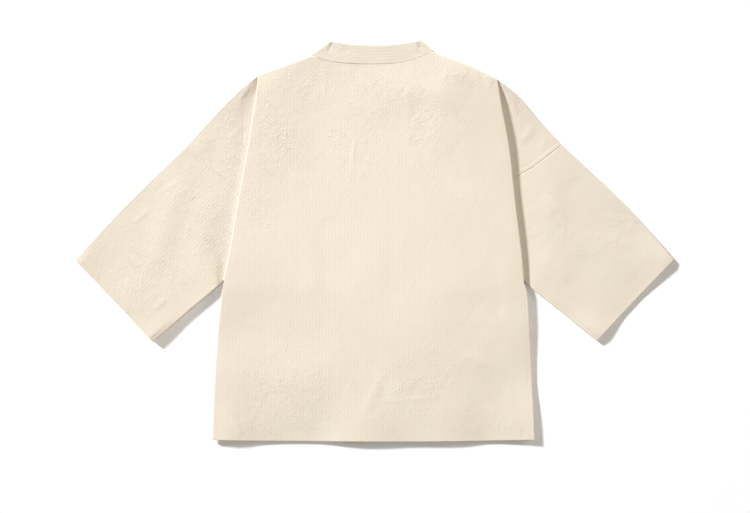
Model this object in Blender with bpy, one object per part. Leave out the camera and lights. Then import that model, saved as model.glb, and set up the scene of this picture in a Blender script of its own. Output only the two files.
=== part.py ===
"""A kimono cardigan laid flat, back up, on a level surface.

The open fronts lie on the surface and the back lies on the fronts. Each sleeve is
drawn down, so the cloth at the armhole folds in under the body as a long tuck that
narrows to nothing at the shoulder. The origin is the middle of the outline, on the
surface, and +Y runs towards the neck. The wearer's left side is at -X.

Sizes below are in millimetres; the model is in metres.
"""

import math
from typing import NamedTuple

import bmesh
import bpy

MM = 0.001
OBJECT_NAME = "kimono_cardigan"

# Cloth and how its layers lie
WALL = 1.2
BAND_WALL = 1.5
SEAM_GAP = 0.3
LAYER_PITCH = 1.8
SEAM_PITCH = WALL + SEAM_GAP
FLOOR_LEVEL = (LAYER_PITCH + WALL) / 2
COLLAR_LEVEL = 2.7

# How finely each stretch is divided
HEM_ROWS = (0.0, 0.04, 0.11, 0.22, 0.38, 0.55, 0.72, 0.87)
FOLD_SHARES = tuple(step / 12 for step in range(12, 0, -1)) + (0.035, 0.0)
SIDE_COLUMNS = (0.0, 0.05, 0.13, 0.27, 0.47, 0.72)
BAND_COLUMNS = 2
GAP_COLUMNS = 3
BEND_STEPS = 4
TUCK_STEPS = 3
DROP_STEPS = 4
SLEEVE_BEND_STEPS = 3
SLEEVE_ROWS = (0.0, 0.06, 0.2, 0.32, 0.45, 0.6, 0.75, 0.9, 1.0)

CREAM = (0.86, 0.78, 0.66, 1.0)
CLOTH_ROUGHNESS = 0.95


class Spot(NamedTuple):
    """A place on the surface, seen from above."""

    x: float
    y: float


class Swell(NamedTuple):
    """How far both layers rise, and the back more than the front, along an edge."""

    at: float
    lift: float
    puff: float


class Bend(NamedTuple):
    """The radius of both bends of the tuck, at a share of the way down it."""

    at: float
    radius: float


class Ridge(NamedTuple):
    """A soft ridge along a sleeve, at a share of the way across it."""

    at: float
    width: float
    height: float


class Side(NamedTuple):
    """One half of the garment's outline and folds, from the neck outwards."""

    name: str
    sign: int
    shoulder: tuple
    drop: tuple
    fold: tuple
    tuck_end: Spot
    edge: tuple
    armhole: tuple
    sleeve_top: tuple
    sleeve_under: tuple
    edge_swell: tuple
    sleeve_ridge: Ridge


TUCK_BENDS = (Bend(0.0, 1.5), Bend(0.08, 2.0), Bend(0.25, 2.7), Bend(0.5, 2.0), Bend(1.0, 1.9))
UNDERARM_RISE = 4 * TUCK_BENDS[-1].radius

LEFT = Side(
    name="left",
    sign=-1,
    shoulder=(Spot(-114, 333.5), Spot(-162, 316), Spot(-208, 298)),
    drop=(Spot(-208, 298), Spot(-254, 260), Spot(-302, 210), Spot(-343, 165)),
    fold=(Spot(-208, 298), Spot(-216, 243), Spot(-233, 141), Spot(-247, 66), Spot(-262, -24), Spot(-272, -70)),
    tuck_end=Spot(-215, -20.5),
    edge=(Spot(-272, -70), Spot(-275, -97), Spot(-283.5, -177), Spot(-290.5, -300), Spot(-291.5, -357)),
    armhole=(Spot(-343, 165), Spot(-286, 124), Spot(-241, 95), Spot(-230, 62), Spot(-227, 20), Spot(-226, -22)),
    sleeve_top=(Spot(-343, 165), Spot(-420, 90.5), Spot(-475, 34.5), Spot(-537, -35)),
    sleeve_under=(Spot(-226, -22), Spot(-272, -70), Spot(-335, -124), Spot(-399, -179)),
    edge_swell=(
        Swell(at=0.0, lift=1.6, puff=1.4),
        Swell(at=0.12, lift=0.6, puff=2.0),
        Swell(at=0.38, lift=0.9, puff=2.6),
        Swell(at=0.6, lift=0.3, puff=2.0),
        Swell(at=0.85, lift=3.6, puff=1.4),
        Swell(at=1.0, lift=UNDERARM_RISE, puff=0.0),
    ),
    sleeve_ridge=Ridge(at=0.42, width=0.1, height=1.8),
)
RIGHT = Side(
    name="right",
    sign=1,
    shoulder=(Spot(103.5, 339.5), Spot(165, 318), Spot(220.5, 291)),
    drop=(Spot(220.5, 291), Spot(249, 269), Spot(297, 216), Spot(335.5, 174)),
    fold=(Spot(220.5, 291), Spot(229, 242), Spot(243, 165), Spot(254, 65), Spot(265, -24), Spot(269, -71)),
    tuck_end=Spot(211, -25),
    edge=(Spot(269, -71), Spot(276, -100), Spot(281.5, -199), Spot(286, -292), Spot(288.5, -357)),
    armhole=(Spot(335.5, 174), Spot(286, 135), Spot(250, 112), Spot(232, 69), Spot(225, 20), Spot(221.5, -26)),
    sleeve_top=(Spot(335.5, 174), Spot(433, 82), Spot(480, 33), Spot(537, -34)),
    sleeve_under=(Spot(221.5, -26), Spot(269, -71), Spot(335, -124), Spot(401, -177)),
    edge_swell=(
        Swell(at=0.0, lift=2.2, puff=2.2),
        Swell(at=0.15, lift=0.4, puff=1.6),
        Swell(at=0.3, lift=0.2, puff=1.4),
        Swell(at=0.6, lift=1.4, puff=2.6),
        Swell(at=0.85, lift=4.2, puff=1.6),
        Swell(at=1.0, lift=UNDERARM_RISE, puff=0.0),
    ),
    sleeve_ridge=Ridge(at=0.6, width=0.14, height=1.0),
)
SIDES = (LEFT, RIGHT)

# The neck seam, the hem and the band, from the wearer's left to right
NECK_SEAM = (Spot(-114, 333.5), Spot(-87, 326), Spot(-33, 319), Spot(12, 319), Spot(50, 322), Spot(103.5, 339.5))
HEM_LINE = (Spot(-291.5, -357), Spot(-225, -358.5), Spot(0, -360), Spot(150, -359.5), Spot(288.5, -357))
COLLAR_TOP = (Spot(-77, 359), Spot(-33, 353.5), Spot(12, 353), Spot(44, 354.5), Spot(80, 360))
BAND_SEAM_HEM = 56.5
BAND_EDGE_HEM = 20.5
BAND_EDGE_NECK = 76.0

HEM_SWELL = (
    Swell(at=-291.5, lift=0.0, puff=0.6),
    Swell(at=-255, lift=1.8, puff=1.6),
    Swell(at=-170, lift=0.2, puff=0.4),
    Swell(at=-110, lift=0.0, puff=0.6),
    Swell(at=-30, lift=2.4, puff=1.2),
    Swell(at=60, lift=1.6, puff=1.4),
    Swell(at=145, lift=2.2, puff=1.0),
    Swell(at=205, lift=0.2, puff=0.5),
    Swell(at=260, lift=1.2, puff=1.2),
    Swell(at=288.5, lift=0.4, puff=0.8),
)
HEM_FADE = (1.0, 0.85, 0.5, 0.15)

# The tuck holds the body up as far as PLATEAU past it, and the sleeves' edges stay round.
# The fronts lie flat from the share FLAT_FROM of the way in from the side.
PLATEAU = 22.0
EDGE_REACH = 0.3
FLAT_FROM = SIDE_COLUMNS[-1]
SLEEVE_PUFF = 2.3
SLEEVE_PUFF_WIDTH = 0.14
CUFF_PUFF = 1.6

Q_ROW = len(HEM_ROWS)
TOP_ROW = Q_ROW + len(FOLD_SHARES) - 1
SIDE_COUNT = len(SIDE_COLUMNS)
MIDDLE_COUNT = 2 * BAND_COLUMNS + GAP_COLUMNS
MAIN_COLUMNS = 2 * SIDE_COUNT + MIDDLE_COUNT
PLEAT_COLUMNS = 2 * BEND_STEPS + TUCK_STEPS + DROP_STEPS


def mix(a, b, share):
    """The value that lies this share of the way from a to b."""
    return a + (b - a) * share


def between(a, b, share):
    """The spot that lies this share of the way from a to b."""
    return Spot(mix(a.x, b.x, share), mix(a.y, b.y, share))


def ease(share):
    """0 to 1 with level ends, held at 0 and 1 outside them."""
    share = min(max(share, 0.0), 1.0)
    return share * share * (3 - 2 * share)


def smooth_value(rows, at):
    """A smooth line through (place, value) rows, read at a place."""
    at = min(max(at, rows[0][0]), rows[-1][0])
    index = max(i for i in range(len(rows) - 1) if rows[i][0] <= at)
    (x0, y0), (x1, y1) = rows[index], rows[index + 1]
    before = rows[max(index - 1, 0)]
    after = rows[min(index + 2, len(rows) - 1)]
    width = x1 - x0
    slope0 = (y1 - before[1]) / (x1 - before[0]) * width
    slope1 = (after[1] - y0) / (after[0] - x0) * width
    t = (at - x0) / width
    return (
        y0 * (1 + 2 * t) * (1 - t) ** 2
        + slope0 * t * (1 - t) ** 2
        + y1 * t * t * (3 - 2 * t)
        + slope1 * t * t * (t - 1)
    )


def along(spots, share):
    """The spot this share of the way along a smooth line through the spots."""
    lengths = [0.0]
    for a, b in zip(spots, spots[1:]):
        lengths.append(lengths[-1] + math.dist(a, b))
    at = share * lengths[-1]
    return Spot(
        smooth_value([(place, spot.x) for place, spot in zip(lengths, spots)], at),
        smooth_value([(place, spot.y) for place, spot in zip(lengths, spots)], at),
    )


def swell_at(rows, at):
    """The lift and puff of a table of swells at a place."""
    lift = smooth_value([(row.at, row.lift) for row in rows], at)
    puff = smooth_value([(row.at, row.puff) for row in rows], at)
    return max(lift, 0.0), max(puff, 0.0)


def fold_share(row):
    """How far down the tuck a row lies: 0 at the shoulder, 1 at the underarm."""
    return FOLD_SHARES[row - Q_ROW]


def edge_spot(side, row):
    """The body's outer edge at a row: the side seam, then the fold over the sleeve."""
    if row < Q_ROW:
        return along(side.edge, 1 - HEM_ROWS[row])
    return along(side.fold, fold_share(row))


def tuck_spot(side, row):
    """The hidden inner fold of the tuck at a row."""
    return between(side.fold[0], side.tuck_end, fold_share(row))


def tuck_depth(side, row):
    """How far the cloth runs back under the body at a row."""
    return side.sign * (edge_spot(side, row).x - tuck_spot(side, row).x)


def tuck_radius(row):
    """The radius of the tuck's bends at a row."""
    return smooth_value(TUCK_BENDS, fold_share(row))


def tuck_rise(row):
    """How far the body stands above the cloth that comes out from under it."""
    return 4 * tuck_radius(row)


def inset(row):
    """How far inside the outline the main cloth ends and the tuck's bend begins."""
    return tuck_radius(row) + FLOOR_LEVEL if row >= Q_ROW else 0.0


def height_share(row):
    """How far up the body a row lies, 0 at the hem and 1 at the shoulder."""
    edges = [edge_spot(LEFT, r).y for r in (0, row, TOP_ROW)]
    return (edges[1] - edges[0]) / (edges[2] - edges[0])


def band_lines(row):
    """The x of the band's seam and inner edge on each side at a row, left to right."""
    up = height_share(row)
    seams = [mix(side.sign * BAND_SEAM_HEM, side.shoulder[0].x, up) for side in SIDES]
    edges = [side.sign * mix(BAND_EDGE_HEM, BAND_EDGE_NECK, up) for side in SIDES]
    return seams[0], edges[0], edges[1], seams[1]


def column_xs(row):
    """The x of each main column at a row."""
    seam_left, edge_left, edge_right, seam_right = band_lines(row)
    left = edge_spot(LEFT, row).x + inset(row)
    right = edge_spot(RIGHT, row).x - inset(row)
    xs = [mix(left, seam_left, share) for share in SIDE_COLUMNS]
    stretches = (
        (seam_left, edge_left, BAND_COLUMNS),
        (edge_left, edge_right, GAP_COLUMNS),
        (edge_right, seam_right, BAND_COLUMNS),
    )
    for start, end, count in stretches:
        xs += [mix(start, end, step / count) for step in range(count)]
    xs.append(seam_right)
    xs += [mix(right, seam_right, share) for share in reversed(SIDE_COLUMNS)]
    return xs


def top_line_y(x):
    """The y of the shoulders and neck seam at an x."""
    spots = tuple(reversed(LEFT.shoulder)) + NECK_SEAM[1:] + RIGHT.shoulder[1:]
    return smooth_value(spots, x)


def chord_y(row, x):
    """The y at an x of the straight line across the body at a row."""
    left, right = edge_spot(LEFT, row), edge_spot(RIGHT, row)
    return mix(left.y, right.y, (x - left.x) / (right.x - left.x))


def row_y(row, x):
    """The y at an x of a row, which bends to the shoulders above and the hem below."""
    top_weight = 1 - fold_share(row) if row > Q_ROW else 0.0
    hem_weight = max(1 - row / Q_ROW, 0)
    top_bend = top_line_y(x) - chord_y(TOP_ROW, x)
    hem_bend = smooth_value(HEM_LINE, x) - chord_y(0, x)
    return chord_y(row, x) + top_bend * top_weight**2 + hem_bend * hem_weight**2


def side_swell(side, row, share):
    """The lift and puff that come from one side's edge, at a share of the way in."""
    width = side.sign * (edge_spot(side, row).x - band_lines(row)[0 if side is LEFT else 3])
    if row >= Q_ROW:
        plateau = (tuck_depth(side, row) + PLATEAU) / width
        return tuck_rise(row) * (1 - ease((share - plateau) / (FLAT_FROM - plateau))), 0.0
    lift, puff = swell_at(side.edge_swell, HEM_ROWS[row])
    plateau = EDGE_REACH * ease(HEM_ROWS[row] * 2 - 1)
    fall = 1 - ease((share - plateau) / (FLAT_FROM - plateau))
    puff_fall = 1 - ease((share - SIDE_COLUMNS[2]) / (FLAT_FROM - SIDE_COLUMNS[2]))
    return lift * fall, puff * puff_fall


def main_place(column, row):
    """The spot, lift and puff of a main column at a row."""
    x = column_xs(row)[column]
    lift, puff = 0.0, 0.0
    closing = SEAM_PITCH - LAYER_PITCH
    from_right = MAIN_COLUMNS - column
    on_side = min(column, from_right) < SIDE_COUNT
    if on_side:
        side = LEFT if column < SIDE_COUNT else RIGHT
        share = SIDE_COLUMNS[min(column, from_right)]
        lift, puff = side_swell(side, row, share)
    if row < len(HEM_FADE):
        hem_lift, hem_puff = swell_at(HEM_SWELL, x)
        lift += hem_lift * HEM_FADE[row]
        puff += hem_puff * HEM_FADE[row]
    on_side_seam = min(column, from_right) == 0 and row < Q_ROW
    if on_side_seam or (on_side and row == TOP_ROW):
        puff = closing
    return Spot(x, row_y(row, x)), lift, puff


def tuck_turn(row):
    """The angle that each bend of the tuck turns through at a row."""
    return math.pi * mix(0.5, 1.0, min(fold_share(row) / FOLD_SHARES[-3], 1.0))


def pleat_place(side, step, row):
    """The spot, height and normal of the cloth's middle, step by step round the tuck.

    Step 0 is the main cloth's edge. The path bends down round the outer fold, runs
    back under the body, bends down again and comes out as the dropped shoulder.
    """
    outer, inner = edge_spot(side, row), tuck_spot(side, row)
    turn, radius = tuck_turn(row), tuck_radius(row)
    top = FLOOR_LEVEL + tuck_rise(row)
    straight = max(tuck_depth(side, row) - 2 * radius, 2 * radius / math.tan(turn / 2))
    start = side.sign * outer.x - inset(row)
    first_end = start + radius * math.sin(turn)
    second_start = first_end + straight * math.cos(turn)
    low = FLOOR_LEVEL + radius * (1 - math.cos(turn))
    if step <= BEND_STEPS:
        angle = turn * step / BEND_STEPS
        across = start + radius * math.sin(angle)
        height = top - radius * (1 - math.cos(angle))
        y = outer.y
    elif step <= BEND_STEPS + TUCK_STEPS:
        share = (step - BEND_STEPS) / TUCK_STEPS
        angle = turn
        across = mix(first_end, second_start, share)
        height = mix(top - radius * (1 - math.cos(turn)), low, share)
        y = mix(outer.y, inner.y, share)
    elif step <= 2 * BEND_STEPS + TUCK_STEPS:
        angle = turn * (1 - (step - BEND_STEPS - TUCK_STEPS) / BEND_STEPS)
        across = second_start + radius * (math.sin(turn) - math.sin(angle))
        height = FLOOR_LEVEL + radius * (1 - math.cos(angle))
        y = inner.y
    else:
        share = (step - 2 * BEND_STEPS - TUCK_STEPS) / DROP_STEPS
        angle = 0.0
        drop_start = Spot(side.sign * (second_start + radius * math.sin(turn)), inner.y)
        seam = along(side.armhole, fold_share(row))
        spot = between(drop_start, seam, share * (1 - SEAM_GAP / math.dist(drop_start, seam)))
        if row == TOP_ROW:
            spot = along(side.drop, share * 0.999)
        across, height, y = side.sign * spot.x, FLOOR_LEVEL, spot.y
    normal = (side.sign * math.sin(angle), math.cos(angle))
    return Spot(side.sign * across, y), height, normal


def layer_place(column, row, layer):
    """The middle of one layer's wall, and its thickness direction, in millimetres.

    The main columns are 0 to MAIN_COLUMNS, with each side's tuck beyond them. The
    layer is 1 for the back and -1 for the fronts.
    """
    if 0 <= column <= MAIN_COLUMNS:
        spot, lift, puff = main_place(column, row)
        height = FLOOR_LEVEL + lift + layer * LAYER_PITCH / 2
        return (spot.x, spot.y, height + (puff if layer > 0 else 0.0)), (0.0, 0.0, 1.0)
    side = LEFT if column < 0 else RIGHT
    step = -column if column < 0 else column - MAIN_COLUMNS
    spot, height, (across, up) = pleat_place(side, step, row)
    offset = layer * LAYER_PITCH / 2
    if row == TOP_ROW and layer > 0 and step > 2 * BEND_STEPS + TUCK_STEPS:
        offset -= LAYER_PITCH - SEAM_PITCH
    point = (spot.x + across * offset, spot.y, height + up * offset)
    return point, (across, 0.0, up)


def cloth_material(name):
    """A plain cream cotton finish for one piece."""
    material = bpy.data.materials.new(name + "_cotton")
    material.use_nodes = True
    shader = material.node_tree.nodes["Principled BSDF"]
    shader.inputs["Base Color"].default_value = CREAM
    shader.inputs["Roughness"].default_value = CLOTH_ROUGHNESS
    shader.inputs["Metallic"].default_value = 0.0
    return material


def cloth_wall(name, columns, rows, place, wall, kept=None):
    """A closed wall of cloth on a grid, joined where its first and last columns meet.

    place(column, row) gives the middle of the wall and its thickness direction.
    kept(column, row) says which grid points belong to the piece.
    """
    mesh = bmesh.new()
    bmesh.ops.create_grid(mesh, x_segments=columns, y_segments=rows, size=0.5)
    column_of = mesh.verts.layers.int.new("column")
    row_of = mesh.verts.layers.int.new("row")
    for vertex in mesh.verts:
        vertex[column_of] = round((vertex.co.x + 0.5) * columns)
        vertex[row_of] = round((vertex.co.y + 0.5) * rows)
    if kept:
        spare = [v for v in mesh.verts if not kept(v[column_of], v[row_of])]
        bmesh.ops.delete(mesh, geom=spare, context="VERTS")
    for vertex in mesh.verts:
        point, _ = place(vertex[column_of], vertex[row_of])
        vertex.co = [value * MM for value in point]
    bmesh.ops.remove_doubles(mesh, verts=mesh.verts, dist=1e-6)
    made = bmesh.ops.extrude_face_region(mesh, geom=mesh.faces[:], use_keep_orig=True)
    upper = {part for part in made["geom"] if isinstance(part, bmesh.types.BMVert)}
    for vertex in mesh.verts:
        point, direction = place(vertex[column_of], vertex[row_of])
        half = wall / 2 if vertex in upper else -wall / 2
        vertex.co = [(value + along_wall * half) * MM for value, along_wall in zip(point, direction)]
    bmesh.ops.recalc_face_normals(mesh, faces=mesh.faces)
    if mesh.calc_volume(signed=True) < 0:
        bmesh.ops.reverse_faces(mesh, faces=mesh.faces)
    data = bpy.data.meshes.new(name)
    mesh.to_mesh(data)
    mesh.free()
    data.materials.append(cloth_material(name))
    data.shade_smooth()
    data.set_sharp_from_angle(angle=math.radians(50))
    return bpy.data.objects.new(name, data)


def make_back():
    """The back panel, with the tuck and dropped shoulder on both sides."""

    def place(column, row):
        point, direction = layer_place(column - PLEAT_COLUMNS, row, 1)
        if row == TOP_ROW and SIDE_COUNT <= column - PLEAT_COLUMNS <= SIDE_COUNT + MIDDLE_COUNT:
            point = (point[0], point[1] - SEAM_GAP, point[2])
        return point, direction

    def kept(column, row):
        return row >= Q_ROW or 0 <= column - PLEAT_COLUMNS <= MAIN_COLUMNS

    columns = MAIN_COLUMNS + 2 * PLEAT_COLUMNS
    return cloth_wall("back_panel", columns, TOP_ROW, place, WALL, kept)


def make_front(side):
    """One front panel, from its dropped shoulder to the seam of the band."""
    columns = PLEAT_COLUMNS + SIDE_COUNT

    def main_column(column):
        inward = column - PLEAT_COLUMNS
        return inward if side is LEFT else MAIN_COLUMNS - inward

    def place(column, row):
        point, direction = layer_place(main_column(column), row, -1)
        if column == columns:
            point = (point[0] + side.sign * SEAM_GAP, point[1], point[2])
        return point, direction

    def kept(column, row):
        return row >= Q_ROW or column >= PLEAT_COLUMNS

    return cloth_wall("front_" + side.name, columns, TOP_ROW, place, WALL, kept)


def sleeve_spot(side, share, down):
    """A spot on the sleeve: share across it from its top fold, down from the seam."""
    cuff_top, cuff_low = side.sleeve_top[-1], side.sleeve_under[-1]
    seam, seam_top, seam_low = along(side.armhole, share), side.armhole[0], side.armhole[-1]
    top, under = along(side.sleeve_top, down), along(side.sleeve_under, down)
    cuff = between(cuff_top, cuff_low, share)
    ruled_x = mix(seam.x, cuff.x, down) + mix(top.x, under.x, share)
    ruled_y = mix(seam.y, cuff.y, down) + mix(top.y, under.y, share)
    corners = between(between(seam_top, cuff_top, down), between(seam_low, cuff_low, down), share)
    return Spot(ruled_x - corners.x, ruled_y - corners.y)


def sleeve_gap(side, share, down):
    """The distance between the middles of the sleeve's two layers."""
    clear_of_body = ease((down - 0.02) / 0.12) if share < 0.5 else ease((down - 0.34) / 0.14)
    from_fold = min(share, 1 - share)
    rounding = SLEEVE_PUFF * (1 - ease(from_fold / SLEEVE_PUFF_WIDTH)) * clear_of_body
    mouth = CUFF_PUFF * ease((down - 0.8) / 0.2) * ease(from_fold / SLEEVE_PUFF_WIDTH)
    ridge = side.sleeve_ridge
    swell = ridge.height * math.exp(-(((share - ridge.at) / ridge.width) ** 2)) * ease((down - 0.1) / 0.5)
    return LAYER_PITCH + rounding + max(mouth, swell)


def make_sleeve(side):
    """One sleeve, a flat tube from the armhole seam to the open cuff."""
    across = len(FOLD_SHARES) - 1
    ring = 2 * (across + SLEEVE_BEND_STEPS)

    def place(column, row):
        down = SLEEVE_ROWS[row]
        upper = column <= across
        on_upper_or_lower = upper or across + SLEEVE_BEND_STEPS <= column <= 2 * across + SLEEVE_BEND_STEPS
        if on_upper_or_lower:
            step = column if upper else 2 * across + SLEEVE_BEND_STEPS - column
            share = FOLD_SHARES[across - step]
            spot, gap = sleeve_spot(side, share, down), sleeve_gap(side, share, down)
            height = WALL / 2 + (gap if upper else 0.0)
            return (spot.x, spot.y, height), (0.0, 0.0, 1.0 if upper else -1.0)
        at_under = column < across + SLEEVE_BEND_STEPS
        share = 1.0 if at_under else 0.0
        bend = column - across if at_under else column - 2 * across - SLEEVE_BEND_STEPS
        angle = math.pi * bend / SLEEVE_BEND_STEPS
        spot, inside = sleeve_spot(side, share, down), sleeve_spot(side, 1 - share, down)
        out = Spot((spot.x - inside.x) / math.dist(spot, inside), (spot.y - inside.y) / math.dist(spot, inside))
        radius = sleeve_gap(side, share, down) / 2
        turn = math.cos(angle) if at_under else -math.cos(angle)
        reach = radius * math.sin(angle)
        height = WALL / 2 + radius * (1 + turn)
        point = (spot.x + out.x * reach, spot.y + out.y * reach, height)
        return point, (out.x * math.sin(angle), out.y * math.sin(angle), turn)

    return cloth_wall("sleeve_" + side.name, ring, len(SLEEVE_ROWS) - 1, place, WALL)


def collar_fold(side, share):
    """A spot on the line where the band folds over to the fronts, from seam to edge."""
    seam, edge = side.shoulder[0], COLLAR_TOP[0] if side is LEFT else COLLAR_TOP[-1]
    inward = 2 * SEAM_GAP / math.dist(seam, edge)
    return between(seam, edge, mix(inward, 1.0, share))


def make_band():
    """The neck band: up one front, folded over, round the back neck and down the other."""
    strip = TOP_ROW
    ribbon_rows = 2 * (strip + BEND_STEPS) + MIDDLE_COUNT

    def strip_place(side, column, row):
        share = column / BAND_COLUMNS
        if row == TOP_ROW:
            spot = collar_fold(side, share)
            return (spot.x, spot.y, BAND_WALL / 2), (0.0, 0.0, -1.0)
        main_column = SIDE_COUNT + column
        if side is RIGHT:
            main_column = MAIN_COLUMNS - main_column
        spot, lift, _ = main_place(main_column, row)
        return (spot.x, spot.y, BAND_WALL / 2 + lift), (0.0, 0.0, -1.0)

    def fold_place(side, column, step):
        seam, edge = collar_fold(side, 0.0), collar_fold(side, 1.0)
        length = math.dist(seam, edge)
        out = (side.sign * abs(seam.y - edge.y) / length, abs(seam.x - edge.x) / length)
        radius = (COLLAR_LEVEL - BAND_WALL / 2) / 2
        angle = math.pi * step / BEND_STEPS
        spot = collar_fold(side, column / BAND_COLUMNS)
        reach, rise = radius * math.sin(angle), radius * (1 - math.cos(angle))
        point = (spot.x + out[0] * reach, spot.y + out[1] * reach, BAND_WALL / 2 + rise)
        return point, (out[0] * math.sin(angle), out[1] * math.sin(angle), -math.cos(angle))

    def collar_place(column, step):
        seam_x = column_xs(TOP_ROW)[SIDE_COUNT + step]
        across = (seam_x - NECK_SEAM[0].x) / (NECK_SEAM[-1].x - NECK_SEAM[0].x)
        edge_x = mix(COLLAR_TOP[0].x, COLLAR_TOP[-1].x, across)
        seam = Spot(seam_x, top_line_y(seam_x))
        spot = between(seam, Spot(edge_x, smooth_value(COLLAR_TOP, edge_x)), column / BAND_COLUMNS)
        return (spot.x, spot.y, COLLAR_LEVEL), (0.0, 0.0, 1.0)

    def place(column, row):
        from_end = min(row, ribbon_rows - row)
        side = LEFT if row <= ribbon_rows / 2 else RIGHT
        if from_end <= strip:
            return strip_place(side, column, from_end)
        if from_end <= strip + BEND_STEPS:
            return fold_place(side, column, from_end - strip)
        return collar_place(column, row - strip - BEND_STEPS)

    return cloth_wall("neck_band", BAND_COLUMNS, ribbon_rows, place, BAND_WALL)


def centre_on_outline(pieces):
    """Moves every mesh so that the outline's middle is the origin."""
    corners = [vertex.co for piece in pieces for vertex in piece.data.vertices]
    middles = [
        (min(corner[axis] for corner in corners) + max(corner[axis] for corner in corners)) / 2
        for axis in (0, 1)
    ]
    lowest = min(corner.z for corner in corners)
    for piece in pieces:
        for vertex in piece.data.vertices:
            vertex.co = (vertex.co.x - middles[0], vertex.co.y - middles[1], vertex.co.z - lowest)


def main():
    """Clears the scene and builds every sewn piece in one collection."""
    for item in list(bpy.data.objects):
        bpy.data.objects.remove(item, do_unlink=True)
    collection = bpy.data.collections.new(OBJECT_NAME)
    bpy.context.scene.collection.children.link(collection)
    pieces = [make_back(), make_front(LEFT), make_front(RIGHT)]
    pieces += [make_sleeve(LEFT), make_sleeve(RIGHT), make_band()]
    centre_on_outline(pieces)
    for piece in pieces:
        collection.objects.link(piece)


main()
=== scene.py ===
"""The looks of a kimono cardigan in cream crepe cotton, laid flat with its back up.

The open fronts lie on the surface and the back lies on the fronts. Each sleeve is drawn
down, so the cloth at the armhole folds in under the body as a long tuck that narrows to
nothing at the shoulder. Every sewn piece is a thin sheet of cloth with turned hems,
seams, stitches and creases.

Sizes are in millimetres, as on a maker's pattern, and become metres in the meshes.
"""

import logging
import math
from dataclasses import dataclass
from enum import Enum
from typing import Callable, NamedTuple

import bpy
import numpy as np
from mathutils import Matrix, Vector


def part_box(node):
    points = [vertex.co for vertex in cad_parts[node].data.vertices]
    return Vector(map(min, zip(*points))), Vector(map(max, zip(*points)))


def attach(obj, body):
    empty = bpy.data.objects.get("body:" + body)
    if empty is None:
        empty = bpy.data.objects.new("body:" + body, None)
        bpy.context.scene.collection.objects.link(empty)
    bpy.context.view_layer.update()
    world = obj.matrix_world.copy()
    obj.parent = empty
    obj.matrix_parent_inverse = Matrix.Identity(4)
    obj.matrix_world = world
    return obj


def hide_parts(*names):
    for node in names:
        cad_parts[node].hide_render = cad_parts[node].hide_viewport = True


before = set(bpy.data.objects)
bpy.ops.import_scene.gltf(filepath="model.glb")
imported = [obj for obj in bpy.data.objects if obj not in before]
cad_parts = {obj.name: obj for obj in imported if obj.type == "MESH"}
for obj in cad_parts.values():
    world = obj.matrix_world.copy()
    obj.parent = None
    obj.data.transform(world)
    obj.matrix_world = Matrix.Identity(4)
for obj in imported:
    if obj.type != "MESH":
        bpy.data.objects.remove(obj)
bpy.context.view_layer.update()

log = logging.getLogger("kimono_cardigan")
Array = np.ndarray
Number = float | Array

MM = 0.001
BODY = "root"
CLOTH_MAP = "cloth"
CRINKLE = "crinkle"

# Cloth, and how its layers lie on each other
WALL = 1.0
PAIR_PITCH = 1.8
PAIR_LEVEL = (PAIR_PITCH + WALL) / 2
SEAM_GAP = 0.3
EDGE_ROUND = 1.3
EDGE_TOUCH = 0.03
HEM_PITCH = 1.15


class Layer(Enum):
    """The two layers of the body, as they lie on each other."""

    BACK = 1
    FRONT = -1


class Stage(Enum):
    """The stretches of cloth from the body's edge out to the armhole."""

    OUTER_BEND = 1
    UNDER = 2
    INNER_BEND = 3
    DROP = 4


class Ring(Enum):
    """The stretches round a sleeve."""

    UPPER = 1
    UNDER_FOLD = 2
    LOWER = 3
    TOP_FOLD = 4


class Spot(NamedTuple):
    """A place on the surface, seen from above."""

    x: float
    y: float


class Swell(NamedTuple):
    """How far both layers rise, and the upper more than the lower, along an edge."""

    at: float
    lift: float
    puff: float


class Bend(NamedTuple):
    """The radius of both bends of the tuck, at a share of the way down it.

    The dropped shoulder's lift is how far it stands off the surface beside the tuck.
    """

    at: float
    radius: float
    drop_lift: float


class Crease(NamedTuple):
    """A soft ridge between two spots, or a trough if its height is below 0."""

    start: Spot
    end: Spot
    width: float
    height: float
    bow: float = 0.0


class Zone(NamedTuple):
    """An oval patch where the cloth is more crinkled."""

    middle: Spot
    reach: Spot
    strength: float


def mix(a: Number, b: Number, share: Number) -> Number:
    """The value that lies this share of the way from a to b."""
    return a + (b - a) * share


def ease(share: Number) -> Array:
    """0 to 1 with level ends, held at 0 and 1 outside them."""
    held = np.clip(share, 0.0, 1.0)
    return held * held * (3 - 2 * held)


def hump(distance: Number, width: float) -> Array:
    """1 at no distance, falling softly to 0 past about two widths."""
    return np.exp(-((distance / width) ** 2))


def rounded(distance: Number, radius: float = EDGE_ROUND) -> Array:
    """0 at an edge, rising as a quarter circle to 1 at the radius."""
    inside = 1 - np.clip(distance / radius, 0.0, 1.0)
    return np.sqrt(np.maximum(1 - inside * inside, 0.0))


def smooth_value(rows: tuple, at: Number) -> Array:
    """Reads a smooth line through (place, value) rows.

    Args:
        rows: the rows, in order of place.
        at: the place or places to read at, held between the first and last.

    Returns:
        The value at each place.
    """
    places = np.array([row[0] for row in rows], float)
    values = np.array([row[1] for row in rows], float)
    at = np.clip(at, places[0], places[-1])
    last = len(rows) - 1
    index = np.clip(np.searchsorted(places, at, side="right") - 1, 0, last - 1)
    before, after = np.maximum(index - 1, 0), np.minimum(index + 2, last)
    x0, x1, y0, y1 = places[index], places[index + 1], values[index], values[index + 1]
    width = x1 - x0
    slope0 = (y1 - values[before]) / (x1 - places[before]) * width
    slope1 = (values[after] - y0) / (places[after] - x0) * width
    t = (at - x0) / width
    start = y0 * (1 + 2 * t) * (1 - t) ** 2 + slope0 * t * (1 - t) ** 2
    return start + y1 * t * t * (3 - 2 * t) + slope1 * t * t * (t - 1)


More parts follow.
